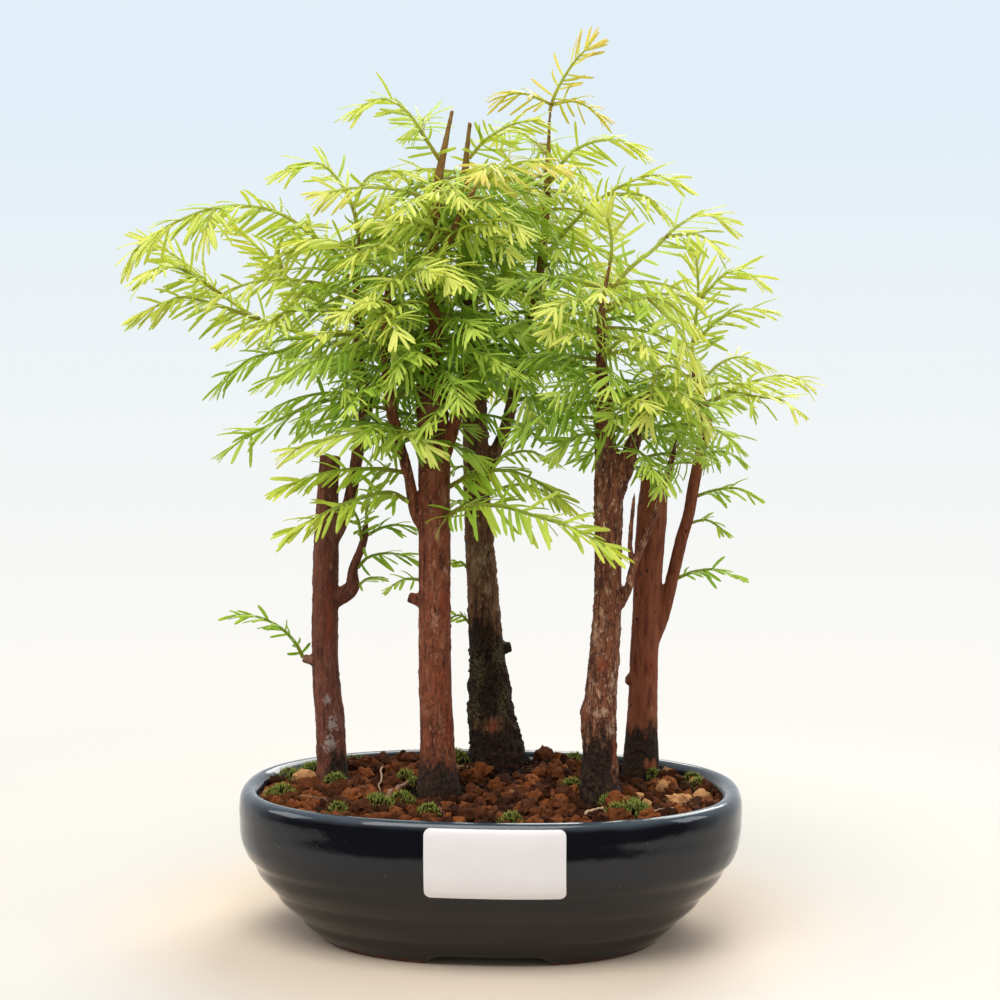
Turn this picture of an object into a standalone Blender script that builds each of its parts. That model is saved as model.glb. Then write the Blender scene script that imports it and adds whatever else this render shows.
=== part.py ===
# Dawn redwood forest in an oval bonsai pot.
# Five young trees stand in granular soil in a low glazed pot, which carries a blank sticker.
# Lengths are in millimetres and MM turns them into metres. X runs along the pot, Y away from its
# front and Z up. The pot's middle is the layout's zero until the last step moves everything.

import math
import random

import bmesh
import bpy
from mathutils import Matrix, Vector, geometry
from mathutils.bvhtree import BVHTree

MM = 0.001
GAP = 0.3
SEED = 7

# The layout is read off a front view: x and z are where a point shows on the upright plane
# through the pot's middle, and depth is how far it lies behind that plane.
EYE_X = 3.7
EYE_DISTANCE = 789.0
EYE_HEIGHT = 228.0
VIEW_TURN = math.radians(5.0)

# The middle of the whole object lies off the pot's middle by this much. The crown's own middle
# line stands there too.
CENTRE_X = -8.37
CENTRE_Y = 8.86
CROWN_X = -8.2
CROWN_Y = 11.8

# Pot
OVAL_POWER = 2.35
OVAL_POINTS = 44
POT_UNDERSIDE = [(52.0, 37.0, 4.2), (56.0, 41.0, 4.2), (57.5, 42.5, 0.0)]
POT_WALL = [
    (65.5, 52.4, 0.0), (67.5, 53.8, 2.4), (73.0, 56.6, 8.2), (75.6, 58.2, 9.6),
    (82.0, 61.2, 17.6), (84.9, 62.8, 19.4), (89.3, 65.1, 27.0), (92.6, 66.8, 29.6),
    (94.7, 67.7, 38.0), (95.5, 68.0, 46.0), (95.1, 67.6, 52.0),
]
POT_RIM = [(93.9, 66.4, 54.2), (92.0, 64.5, 55.0), (89.7, 62.2, 54.6), (88.0, 60.5, 52.6)]
POT_FLOOR = (62.0, 47.0, 9.0)
FOOT_NOTCH_HEIGHT = 3.5
FRONT_NOTCH_WIDTH = 41.0
SIDE_NOTCH_WIDTH = 32.0
NOTCH_MIDDLE_X = 4.0
DRAIN_HOLE_RADIUS = 6.0
DRAIN_HOLE_X = 28.0

# Sticker on the pot's front
LABEL_WIDTH = 50.0
LABEL_HEIGHT = 25.0
LABEL_CORNER = 3.0
LABEL_MIDDLE_X = 7.7
LABEL_TOP = 53.2
LABEL_THICKNESS = 0.35
LABEL_OFF_WALL = 0.55

# Soil
SOIL_EDGE = 50.4
SOIL_MIDDLE = 52.0
SOIL_MOUND = 4.6
SOIL_CLEARANCE = 0.5
GRANULE_PITCH = 8.2
GRANULE_RELIEF = 1.5
GRANULE_SCATTER = 1.6
GRANULE_MARGIN = 5.0
MOUND_REACH_X = 42.0
MOUND_REACH_Y = 26.0
TREE_FOOT = 42.0
HOLE_SIDES = 12
HOLE_TOP = 80.0

# Needles and ribs
NEEDLE_PITCH = 4.0
NEEDLE_LENGTH = 13.5
NEEDLE_THICKNESS = 0.7
RIB_WIDTH = 1.7
RIB_THICKNESS = 1.3
NEEDLE_LEAN_FIRST = math.radians(74.0)
NEEDLE_LEAN_LAST = math.radians(38.0)
NEEDLE_DROOP = math.radians(36.0)
END_NEEDLE_SHARE = 0.62
TIP_TRIM = 6.0
TIP_TRIM_SHARE = 0.16
SHORT_CUTS = (1.0, 0.72, 0.5)
CLEAR_ABOVE = 1.25
CLEAR_BESIDE = 0.8
CLEAR_BEYOND = 1.0
BARE_ROWS = 1
OUTWARD_TILT = 0.5
SEAT_FLAT = 0.1
SEAT_STEEP = 0.8

# Colours, as base colour and roughness
GLAZE = ((0.012, 0.014, 0.03), 0.12)
STICKER_WHITE = ((0.82, 0.8, 0.8), 0.5)
SOIL_BROWN = ((0.2, 0.06, 0.028), 0.95)
BARK = {
    "left": ((0.19, 0.06, 0.035), 0.85),
    "centre": ((0.2, 0.055, 0.03), 0.85),
    "back": ((0.06, 0.03, 0.02), 0.9),
    "front": ((0.24, 0.09, 0.055), 0.85),
    "right": ((0.28, 0.08, 0.04), 0.8),
}
YOUNG_GREEN = ((0.5, 0.66, 0.06), 0.55)
FULL_GREEN = ((0.22, 0.42, 0.04), 0.55)
DEEP_GREEN = ((0.07, 0.2, 0.025), 0.6)
GOLDEN_GREEN = ((0.62, 0.42, 0.14), 0.55)

# How much light a spray's tip gets decides its green
GOLDEN_ABOVE = 325.0
CROWN_HALF_LENGTH = 120.0
CROWN_HALF_WIDTH = 75.0
CROWN_BASE = 200.0
YOUNG_LIGHT = 0.95
FULL_LIGHT = 0.45

# Trunks and woody branches. Each point is x, z, depth and width. The first is the trunk.
TREES = {
    "left": {
        "trunk": [
            (-60.3, 57, 24, 12.6), (-60.4, 64, 24, 11.4), (-61.0, 80, 24, 11.0),
            (-62.6, 100, 24, 10.1), (-62.4, 128, 24, 9.8), (-61.8, 150, 24, 9.3),
            (-61.2, 166, 24, 8.1), (-60.2, 180, 24, 7.7),
        ],
        "stub": [(-62, 101, 24, 5.0), (-67.5, 102, 23, 3.6), (-71, 103.2, 23, 3.2)],
        "low": [
            (-60, 125, 24, 5.0), (-52.6, 129.6, 23, 6.0), (-51.8, 137, 21, 3.6),
            (-48, 147, 19, 3.0), (-46.6, 156, 18, 2.4),
        ],
        "high": [
            (-61, 146, 24, 5.0), (-55, 157, 23, 5.0), (-52, 168, 23, 4.6), (-50, 180, 22, 4.6),
            (-46.6, 200, 20, 5.2), (-49, 211, 19, 4.6), (-49, 228, 18, 3.8),
            (-50, 246, 17, 3.0), (-49, 262, 16, 2.4),
        ],
    },
    "centre": {
        "trunk": [
            (-19.8, 52, 0, 17.0), (-20.0, 60, 0, 14.6), (-20.2, 72, 0, 12.9),
            (-21.0, 100, 0, 12.3), (-21.0, 150, 0, 12.0), (-21.3, 190, 0, 12.0),
            (-22.5, 203, 0, 10.0), (-21.8, 216, 0, 7.4), (-20.2, 227, 0, 5.2),
            (-22.4, 243, 1, 3.8), (-20.6, 262, 3, 3.6), (-19.6, 280, 4, 3.4),
            (-17.3, 293, 5, 3.4), (-14.0, 308.5, 6, 3.0),
        ],
        "stub": [(-22, 123, 0, 5.0), (-28, 125.4, -1, 4.4), (-31, 126.4, -1, 4.0)],
        "left": [
            (-22, 150, 0, 5.0), (-28, 158, -2, 4.6), (-30.7, 172, -3, 4.0),
            (-34.1, 185, -4, 4.0), (-37, 197, -4, 4.4), (-39.2, 215, -4, 3.6),
            (-38.7, 234, -4, 3.6), (-38.2, 243, -4, 4.6),
        ],
        "fork": [
            (-19, 176, -1, 5.0), (-15.2, 185, -3, 4.6), (-12, 198, -5, 4.4), (-9, 212, -6, 3.2),
        ],
        "olive": [(-22, 244, 1, 3.0), (-14, 264, -5, 2.6), (-5, 280.5, -7, 2.2)],
    },
    "back": {
        "trunk": [
            (2.4, 66, 43, 21.5), (1.9, 72, 43, 19.6), (0.4, 81, 43, 17.6), (-0.2, 91, 43, 16.0),
            (-1.1, 103, 43, 13.6), (-2.4, 122, 43, 12.2), (-3.6, 140, 43, 11.3),
            (-4.8, 162, 43, 10.0), (-5.4, 182, 43, 9.7), (-6.0, 202, 42, 9.0),
            (-7.0, 222, 41, 7.6), (-8.2, 244, 38, 6.0), (-9.6, 266, 35, 4.6),
            (-9.2, 286, 32, 3.8), (-7.5, 304, 30, 3.2),
        ],
        "leader": [
            (-4, 168, 43, 5.5), (1, 179, 43, 5.0), (6, 191, 43, 4.6), (9, 204, 42, 4.2),
            (13, 222, 41, 3.8), (17.6, 242, 39, 3.4), (20.4, 264, 37, 3.0),
            (21.4, 284, 36, 2.6), (22.2, 308, 34, 2.3),
        ],
        "knob": [(1, 106, 43, 5.0), (8.0, 107.4, 43, 4.0)],
    },
    "front": {
        "trunk": [
            (41.9, 49, -13, 17.0), (41.8, 58, -13, 14.0), (41.6, 70, -13, 13.0),
            (41.2, 81, -13, 13.6), (42.1, 90, -13, 12.0), (43.2, 104, -13, 11.4),
            (44.3, 122, -13, 10.8), (44.5, 150, -13, 10.5), (44.6, 164, -13, 11.0),
            (44.2, 176, -13, 9.6), (43.2, 188, -13, 7.6), (42.8, 202, -13, 5.4),
            (41.6, 218, -14, 4.0), (42.0, 236, -14, 3.4), (44.6, 251, -14, 2.6),
        ],
        "fork": [
            (45, 162, -13, 7.0), (50, 174, -13, 7.2), (54, 185, -12, 5.4), (58, 196, -12, 4.2),
            (61.5, 208, -13, 3.2),
        ],
        "side": [
            (45, 118, -13, 3.6), (51.6, 128, -15, 3.4), (54.2, 138, -16, 3.0),
            (58.8, 149, -16, 2.6), (62.6, 159, -16, 2.4), (68, 177, -14, 2.2), (70, 186, -12, 2.0),
        ],
        "twig": [(54, 138, -16, 2.2), (52.8, 147, -18, 1.9), (54.4, 166, -18, 1.6)],
    },
    "right": {
        "trunk": [
            (57.3, 58.4, 30, 14.6), (57.5, 70, 30, 12.8), (57.9, 84, 30, 11.3),
            (58.3, 102, 30, 10.7), (59.2, 122, 30, 10.6), (60, 140, 30, 10.9),
            (61, 158, 30, 11.2), (61.7, 168, 30, 10.2), (62, 173.5, 30, 9.6),
        ],
        "knob": [(56, 94, 30, 5.0), (51.6, 95, 29, 3.8)],
        "branch": [
            (60.5, 108, 30, 5.5), (65, 118, 30, 5.0), (67.4, 127, 30, 4.8), (69.4, 136, 30, 4.8),
            (72.3, 148.6, 30, 4.6), (74.7, 157, 30, 4.4), (76.6, 168, 30, 4.4),
            (79, 181, 30, 4.2), (81.2, 191, 29, 4.6), (78.4, 203, 28, 3.6), (76, 212, 27, 2.8),
        ],
    },
}

# Leafy sprays: the limb that carries it, the z at which it leaves or None for the limb's tip,
# then its route as x, z and depth. A fourth entry holds what differs from a plain spray.
SPRAYS = {
    "left": [
        ("stub", None, [(-74, 109, 23), (-80, 115, 22), (-89, 119, 19), (-101, 119.6, 15)],
         {"length": 0.62}),
        ("low", 150, [(-41, 152.6, 17), (-35, 153.8, 18), (-28, 152.4, 20)], {"length": 0.8}),
        ("low", 138, [(-46, 141.5, 19), (-38, 143, 18), (-28, 141, 17)], {"length": 0.8}),
        ("high", 203, [(-60, 201, 14), (-74, 196, 8), (-99, 183, 4)], {}),
        ("high", 226, [(-64, 224, 24), (-79, 219, 27), (-91, 215.6, 28), (-104, 204.5, 26)], {}),
        ("high", 240, [(-60, 243.6, 12), (-79, 246, 4), (-93, 243.5, -2), (-105, 238, -4)],
         {"sides": [(0.34, [(-80, 231, -12), (-93, 227, -18), (-102, 222, -20)])]}),
        ("high", 250, [(-64.6, 261, 12), (-80, 271, 7), (-98, 273, 3), (-114, 268.6, 1),
                       (-129.6, 259.6, -1), (-137, 250, -2)], {"droop": 1.5}),
        ("high", 220, [(-66, 224.5, 36), (-86, 231, 40), (-100, 240, 39), (-114, 252, 36),
                       (-130, 262, 32)],
         {"sides": [(0.5, [(-112, 239, 30), (-122, 237, 25), (-133, 232.5, 21)])]}),
        ("high", 233, [(-62, 236, 25), (-74, 245, 27), (-86, 257, 26), (-98, 267.6, 22)], {}),
        ("high", None, [(-51, 272, 16), (-56, 282, 17), (-65, 289, 18), (-82, 284.6, 17)],
         {"sides": [(0.24, [(-46, 283, 10), (-38, 286, 7), (-28, 285, 5)])]}),
        ("high", 211, [(-56, 215, 36), (-66, 217, 54), (-76, 212, 72)],
         {"sides": [(0.2, [(-48, 221, 54), (-42, 224, 66), (-38, 220, 78)])]}),
        ("high", 252, [(-56, 258, 32), (-64, 261, 50), (-72, 257, 66)],
         {"sides": [(0.24, [(-47, 264, 38), (-40, 265.6, 46), (-34, 262, 56)])]}),
    ],
    "centre": [
        ("left", 163, [(-39.4, 166, -7), (-57.7, 160.5, -10), (-78.5, 149, -11)], {}),
        ("left", 174, [(-43, 175, -1), (-61.6, 173.5, -1), (-82, 166, -3)], {}),
        ("trunk", 187, [(-32, 189, -13), (-44, 189, -17), (-57, 187, -19), (-79, 180.6, -16)], {}),
        ("left", 217, [(-54, 219, -12), (-69.4, 214, -17), (-88, 206, -19)], {}),
        ("trunk", 290, [(-25, 299.5, 0), (-31, 308, -2), (-40, 312.6, -4), (-53, 307, -6)],
         {"sides": [(0.3, [(-24, 305, 14), (-26, 304, 24), (-31, 299, 33)])]}),
        ("left", 227, [(-37, 231, -14), (-36, 231, -30), (-34, 223, -44)], {}),
        ("left", None, [(-44, 252, -7), (-58, 260, -15), (-74, 260, -22)], {}),
        ("trunk", 215, [(-27, 218, -14), (-32, 213, -24), (-39, 204, -32)], {}),
        ("fork", None, [(-3, 217, -10), (7, 213.6, -16), (13, 203.6, -21), (17, 191, -23)], {}),
        ("trunk", 168, [(-8, 172, -5), (4, 174.4, -8), (16, 171, -10), (31, 160.4, -11)], {}),
        ("trunk", 156, [(-10, 160.5, -13), (3, 161, -18), (16, 157.4, -23), (31, 152.4, -29),
                        (49, 142.6, -35)], {}),
        ("trunk", 240, [(-21, 248, -12), (-15, 250, -26), (-10, 243.6, -42)], {}),
        ("olive", 262, [(-5, 266.5, -14), (5, 267.5, -22), (15, 262, -28)], {}),
        ("olive", None, [(2, 285, -8), (14, 289.5, -11), (29, 287, -14)],
         {"sides": [(0.2, [(2, 288, -18), (0, 288.4, -28), (-6, 284, -38)])]}),
        ("trunk", 268, [(-24, 273.5, -8), (-29, 275.5, -22), (-34, 270, -38)], {}),
        ("trunk", 222, [(-26, 229, 14), (-28, 232, 28), (-31, 228.6, 42)], {}),
    ],
    "back": [
        ("trunk", 291, [(-1, 298, 24), (9, 303.4, 18), (20, 305, 12)], {}),
        ("leader", None, [(23.5, 312.6, 34), (26.6, 319, 34), (32, 327, 34), (38.6, 333.4, 33)],
         {"face": "front", "length": 0.9,
          "sides": [(0.1, [(12, 314.6, 31), (3, 313, 28)]),
                    (0.1, [(32, 311.6, 37), (42, 306, 40)])]}),
        ("leader", 282, [(29, 291.4, 31), (38, 296.6, 28), (49, 297, 26), (58, 291.6, 24)], {}),
        ("leader", 292, [(15, 298, 50), (8, 301, 63), (0, 297, 76)],
         {"sides": [(0.25, [(25, 295, 58), (31, 290, 69), (36, 281, 80)])]}),
        ("leader", 254, [(29, 264.6, 28), (38.6, 274, 20), (50, 281, 13), (61, 284.4, 9),
                         (74, 280.6, 7)],
         {"sides": [(0.56, [(57, 277, 4), (66, 270, -3)])]}),
        ("trunk", 258, [(0, 262.5, 24), (6, 262.5, 9), (9, 256, -6)], {}),
        ("trunk", 240, [(3, 246, 56), (12, 247.4, 70), (22, 241, 84)],
         {"sides": [(0.5, [(16, 257, 65), (25, 264, 70), (35, 263, 78)])]}),
        ("trunk", 226, [(-18, 232, 58), (-28, 233.4, 72), (-40, 227, 84)],
         {"sides": [(0.25, [(-8, 226, 64), (-2, 216, 72), (3, 204, 78)])]}),
        ("trunk", 272, [(-12, 279, 52), (-12, 281.6, 67), (-14, 277, 84)],
         {"sides": [(0.24, [(0, 283, 58), (8, 282.6, 64), (17, 277, 70)])]}),
        ("leader", 238, [(27, 244, 36), (38, 247.6, 37), (51, 243.6, 38)],
         {"sides": [(0.3, [(34, 250, 50), (42, 252, 62), (50, 247, 74)])]}),
        ("leader", 201, [(16, 201, 30), (27, 198.4, 20), (38, 190.6, 13)],
         {"sides": [(0.2, [(20, 201, 46), (25, 197, 58), (30, 189, 70)])]}),
        ("leader", 222, [(24, 228, 28), (33, 229.6, 17), (43, 224, 8)], {}),
    ],
    "front": [
        ("trunk", 240, [(51.7, 249.5, -12), (61, 257, -11), (70, 265.6, -10), (80, 270, -9),
                        (91, 264.8, -8)],
         {"sides": [(0.55, [(77, 262.6, -18), (86, 257, -24)])]}),
        ("trunk", None, [(45.4, 257, -14), (44.8, 264, -15), (43, 272, -16)], {"face": "front"}),
        ("trunk", 230, [(38, 236, -26), (30, 238.4, -38), (21, 233, -49)], {}),
        ("trunk", 218, [(49, 223, -27), (55, 223.6, -39), (61, 217.6, -51)], {}),
        ("trunk", 234, [(54, 238.4, -21), (66, 237.4, -26), (79, 226, -29)],
         {"sides": [(0.5, [(68, 230, -36), (74, 221, -42), (80, 210, -46)])]}),
        ("fork", None, [(64, 213, -22), (70, 212.6, -33), (78, 206, -43)],
         {"sides": [(0.25, [(62, 209, -31), (60, 201, -39), (58, 190, -45)]),
                    (0.2, [(71, 208, -21), (77, 200, -24), (83, 190, -27)])]}),
    ],
    "right": [
        ("branch", None, [(75.6, 219, 26), (76.9, 230, 25), (77.8, 243, 24), (76.4, 259, 24)],
         {"face": "front",
          "sides": [(0.22, [(90, 233.4, 20), (106, 235, 18)]),
                    (0.62, [(90, 249, 22), (102, 245, 21)])]}),
        ("branch", 198, [(91, 205, 27), (101, 208.4, 25), (111, 210, 23), (121.4, 205.6, 22)],
         {"sides": [(0.26, [(101, 202, 12), (109, 201, 7), (117, 196, 4)])]}),
        ("branch", 206, [(86, 214.4, 36), (94, 217, 44), (104, 213.4, 50)], {}),
        ("branch", 165, [(85, 167, 30), (93, 167.6, 29), (101, 164.6, 28)], {"length": 0.7}),
        ("branch", 134, [(77, 136, 30), (85, 136.8, 29), (94.6, 133.6, 28)], {"length": 0.7}),
        ("branch", 195, [(79, 203, 44), (77, 207, 58), (73, 203.6, 73)],
         {"sides": [(0.45, [(70, 203, 60), (61, 199, 66), (52, 191, 71)])]}),
    ],
}

parts = bpy.data.collections.new("dawn_redwood_bonsai_forest")
cutters = bpy.data.collections.new("cutters")


def clear_scene():
    """Take away whatever the opened file holds."""
    for old in list(bpy.data.objects):
        bpy.data.objects.remove(old)


def finish(item, look):
    """Give an object its own plain material."""
    colour, roughness = look
    material = bpy.data.materials.new(item.name + "_finish")
    material.use_nodes = True
    shader = material.node_tree.nodes["Principled BSDF"]
    shader.inputs["Base Color"].default_value = (*colour, 1.0)
    shader.inputs["Roughness"].default_value = roughness
    shader.inputs["Metallic"].default_value = 0.0
    item.data.materials.clear()
    item.data.materials.append(material)


def make_object(name, mesh, collection):
    """Put a mesh drawn in millimetres into the scene in metres."""
    mesh.transform(Matrix.Scale(MM, 4))
    item = bpy.data.objects.new(name, mesh)
    collection.objects.link(item)
    return item


def mesh_from(name, points, faces):
    """Make a mesh from points and the faces between them."""
    mesh = bpy.data.meshes.new(name)
    mesh.from_pydata([tuple(point) for point in points], [], faces)
    mesh.validate()
    return mesh


def hide_cutter(item):
    """Show a cutter as wire only."""
    item.hide_render = True
    item.display_type = "WIRE"


def add_boolean(item, operation, collection):
    """Cut or join an object with all that a collection holds."""
    modifier = item.modifiers.new(operation.lower(), "BOOLEAN")
    modifier.operation = operation
    modifier.operand_type = "COLLECTION"
    modifier.collection = collection
    modifier.solver = "EXACT"
    return modifier


def oval(half_length, half_width, height):
    """One ring of the pot's rounded oval."""
    ring = []
    for step in range(OVAL_POINTS):
        angle = 2.0 * math.pi * step / OVAL_POINTS
        across = math.cos(angle)
        along = math.sin(angle)
        x = half_length * math.copysign(abs(across) ** (2.0 / OVAL_POWER), across)
        y = half_width * math.copysign(abs(along) ** (2.0 / OVAL_POWER), along)
        ring.append(Vector((x, y, height)))
    return ring


def loft(rings):
    """Join rings of equal count into one closed skin with flat ends."""
    count = len(rings[0])
    points = [point for ring in rings for point in ring]
    faces = [tuple(reversed(range(count)))]
    for row in range(len(rings) - 1):
        low = row * count
        high = low + count
        for step in range(count):
            after = (step + 1) % count
            faces.append((low + step, low + after, high + after, high + step))
    last = (len(rings) - 1) * count
    faces.append(tuple(last + step for step in range(count)))
    return points, faces


def facing_out(mesh):
    """Turn every face of a closed mesh outwards."""
    work = bmesh.new()
    work.from_mesh(mesh)
    bmesh.ops.recalc_face_normals(work, faces=work.faces)
    work.to_mesh(mesh)
    work.free()


def smooth(item, angle):
    """Shade round faces smooth and keep the edges sharper than an angle."""
    item.data.shade_smooth()
    item.data.set_sharp_from_angle(angle=math.radians(angle))


def box_cutter(name, size, middle, collection):
    """A plain box that cuts a notch."""
    work = bmesh.new()
    bmesh.ops.create_cube(work, size=1.0)
    bmesh.ops.scale(work, vec=size, verts=work.verts)
    bmesh.ops.translate(work, vec=middle, verts=work.verts)
    mesh = bpy.data.meshes.new(name)
    work.to_mesh(mesh)
    work.free()
    item = make_object(name, mesh, collection)
    hide_cutter(item)


def drum_cutter(name, radius, sides, low, high, middle, collection):
    """A plain cylinder that cuts a hole."""
    work = bmesh.new()
    bmesh.ops.create_cone(
        work, cap_ends=True, segments=sides, radius1=radius, radius2=radius, depth=high - low)
    bmesh.ops.translate(work, vec=(middle[0], middle[1], (low + high) / 2.0), verts=work.verts)
    mesh = bpy.data.meshes.new(name)
    work.to_mesh(mesh)
    work.free()
    item = make_object(name, mesh, collection)
    hide_cutter(item)


def make_pot():
    """The glazed pot: a stepped oval bowl on four feet with two drain holes."""
    rings = [oval(*size) for size in POT_UNDERSIDE + POT_WALL + POT_RIM + [POT_FLOOR]]
    points, faces = loft(rings)
    mesh = mesh_from("pot", points, faces)
    facing_out(mesh)
    pot = make_object("pot", mesh, parts)
    cuts = bpy.data.collections.new("pot_cutters")
    cutters.children.link(cuts)
    reach = 2.4 * POT_WALL[0][0]
    box_cutter("front_notch", (FRONT_NOTCH_WIDTH, reach, 2.0 * FOOT_NOTCH_HEIGHT),
               (NOTCH_MIDDLE_X, 0.0, 0.0), cuts)
    box_cutter("side_notch", (reach, SIDE_NOTCH_WIDTH, 2.0 * FOOT_NOTCH_HEIGHT),
               (0.0, 0.0, 0.0), cuts)
    for side in (-1.0, 1.0):
        drum_cutter("drain_hole", DRAIN_HOLE_RADIUS, HOLE_SIDES, 1.0, POT_FLOOR[2] + 3.0,
                    (side * DRAIN_HOLE_X, 0.0), cuts)
    add_boolean(pot, "DIFFERENCE", cuts)
    smooth(pot, 40.0)
    finish(pot, GLAZE)


def wall_at(height):
    """Half the length and half the width of the pot's outside at a height."""
    wall = POT_WALL + POT_RIM[:2]
    for (long_low, wide_low, low), (long_high, wide_high, high) in zip(wall, wall[1:]):
        if low <= height <= high and high > low:
            share = (height - low) / (high - low)
            return (long_low + share * (long_high - long_low),
                    wide_low + share * (wide_high - wide_low))
    return wall[-1][:2]


def wall_front(x, height):
    """How far forward the pot's front face stands at one place."""
    half_length, half_width = wall_at(height)
    share = min(abs(x) / half_length, 1.0)
    return -half_width * (1.0 - share ** OVAL_POWER) ** (1.0 / OVAL_POWER)


def make_label():
    """A thin blank sticker that follows the pot's front, with its corners cut round."""
    half = LABEL_WIDTH / 2.0
    inner = half - LABEL_CORNER
    columns = [-half] + [inner * step / 3.0 for step in range(-3, 4)] + [half]
    bottom = LABEL_TOP - LABEL_HEIGHT
    rows = [bottom] + [z for _, _, z in POT_WALL if bottom < z < LABEL_TOP] + [LABEL_TOP]
    pull = LABEL_CORNER * (1.0 - math.sqrt(0.5))
    points = []
    for z in rows:
        for x in columns:
            if abs(x) == half and z in (bottom, LABEL_TOP):
                x -= math.copysign(pull, x)
                z += math.copysign(pull / 2.0, LABEL_TOP - 1.0 - z)
            x += LABEL_MIDDLE_X
            points.append(Vector((x, wall_front(x, z) - LABEL_OFF_WALL, z)))
    wide = len(columns)
    faces = []
    for row in range(len(rows) - 1):
        for column in range(wide - 1):
            corner = row * wide + column
            faces.append((corner, corner + 1, corner + wide + 1))
            faces.append((corner, corner + wide + 1, corner + wide))
    label = make_object("label", mesh_from("label", points, faces), parts)
    thick = label.modifiers.new("paper", "SOLIDIFY")
    thick.thickness = LABEL_THICKNESS * MM
    thick.offset = 0.0
    finish(label, STICKER_WHITE)


def seen(x, z, depth):
    """The place at a depth that shows at x and z in the front view."""
    reach = (EYE_DISTANCE + depth) / EYE_DISTANCE
    place = Vector((EYE_X + (x - EYE_X) * reach, depth, EYE_HEIGHT + (z - EYE_HEIGHT) * reach))
    return Matrix.Rotation(VIEW_TURN, 3, "Z") @ place


def seen_width(width, depth):
    """The real width of what shows this wide at a depth."""
    return width * (EYE_DISTANCE + depth) / EYE_DISTANCE


def tree_foot(tree):
    """Where a trunk enters the soil, and how thick it is there."""
    x, z, depth, width = TREES[tree]["trunk"][0]
    return seen(x, z, depth), seen_width(width, depth) / 2.0


def soil_height(x, y):
    """The soil's surface without its granules: low at the edge, heaped by the back tree."""
    top_length, top_width, _ = POT_RIM[-1]
    out = min((abs(x) / top_length) ** OVAL_POWER + (abs(y) / top_width) ** OVAL_POWER, 1.0)
    heap, _ = tree_foot("back")
    near = math.exp(-((x - heap.x) / MOUND_REACH_X) ** 2 - ((y - heap.y) / MOUND_REACH_Y) ** 2)
    return SOIL_EDGE + (SOIL_MIDDLE - SOIL_EDGE) * (1.0 - out) + SOIL_MOUND * near * (1.0 - out ** 3)


def inner_oval(height):
    """The soil's side, which follows the pot's inside and stays clear of it."""
    top_length, top_width, top = POT_RIM[-1]
    floor_length, floor_width, floor = POT_FLOOR
    share = (height - floor) / (top - floor)
    half_length = floor_length + share * (top_length - floor_length) - SOIL_CLEARANCE
    half_width = floor_width + share * (top_width - floor_width) - SOIL_CLEARANCE
    return oval(half_length, half_width, height)


def make_soil():
    """The soil: a lumpy top over the shape of the pot's inside, with a hole for each trunk."""
    draw = random.Random(SEED)
    edge = inner_oval(SOIL_EDGE)
    flat = [Vector((point.x, point.y)) for point in edge]
    rows = int(2.0 * POT_RIM[-1][0] / GRANULE_PITCH)
    for row in range(-rows, rows + 1):
        y = row * GRANULE_PITCH * math.sqrt(0.75)
        for column in range(-rows, rows + 1):
            x = (column + 0.5 * (row % 2)) * GRANULE_PITCH
            out = (abs(x) / (POT_RIM[-1][0] - GRANULE_MARGIN)) ** OVAL_POWER
            out += (abs(y) / (POT_RIM[-1][1] - GRANULE_MARGIN)) ** OVAL_POWER
            if out < 1.0:
                shift_x = draw.uniform(-GRANULE_SCATTER, GRANULE_SCATTER)
                shift_y = draw.uniform(-GRANULE_SCATTER, GRANULE_SCATTER)
                flat.append(Vector((x + shift_x, y + shift_y)))
    ring = [list(range(len(edge)))]
    spots, _, faces, _, _, _ = geometry.delaunay_2d_cdt(flat, [], ring, 1, 0.001)
    points = []
    for number, spot in enumerate(spots):
        lump = 0.0 if number < len(edge) else draw.uniform(-GRANULE_RELIEF, GRANULE_RELIEF)
        points.append(Vector((spot.x, spot.y, soil_height(spot.x, spot.y) + lump)))
    faces = [tuple(face) for face in faces]
    below = inner_oval(POT_FLOOR[2] + GAP)
    first = len(points)
    points.extend(below)
    count = len(edge)
    for step in range(count):
        after = (step + 1) % count
        faces.append((step, first + step, first + after, after))
    faces.append(tuple(first + step for step in reversed(range(count))))
    mesh = mesh_from("soil", points, faces)
    facing_out(mesh)
    soil = make_object("soil", mesh, parts)
    holes = bpy.data.collections.new("soil_cutters")
    cutters.children.link(holes)
    for tree in TREES:
        foot, radius = tree_foot(tree)
        wide = (radius + GAP) / math.cos(math.pi / HOLE_SIDES)
        drum_cutter(tree + "_hole", wide, HOLE_SIDES, TREE_FOOT - GAP, HOLE_TOP, foot, holes)
    add_boolean(soil, "DIFFERENCE", holes)
    finish(soil, SOIL_BROWN)


def make_limb(name, route, sides):
    """A round limb of changing thickness, as a curve turned into a closed mesh."""
    curve = bpy.data.curves.new(name, "CURVE")
    curve.dimensions = "3D"
    curve.bevel_depth = 1.0
    curve.bevel_resolution = (sides - 4) // 2
    curve.use_fill_caps = True
    spline = curve.splines.new("POLY")
    spline.points.add(len(route) - 1)
    for spot, (place, radius) in zip(spline.points, route):
        spot.co = (*place, 1.0)
        spot.radius = radius
    guide = bpy.data.objects.new(name + "_guide", curve)
    parts.objects.link(guide)
    shape = guide.evaluated_get(bpy.context.evaluated_depsgraph_get())
    mesh = bpy.data.meshes.new_from_object(shape)
    mesh.transform(guide.matrix_world)
    bpy.data.objects.remove(guide)
    work = bmesh.new()
    work.from_mesh(mesh)
    bmesh.ops.remove_doubles(work, verts=work.verts, dist=0.0001)
    bmesh.ops.recalc_face_normals(work, faces=work.faces)
    work.to_mesh(mesh)
    work.free()
    return mesh


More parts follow.
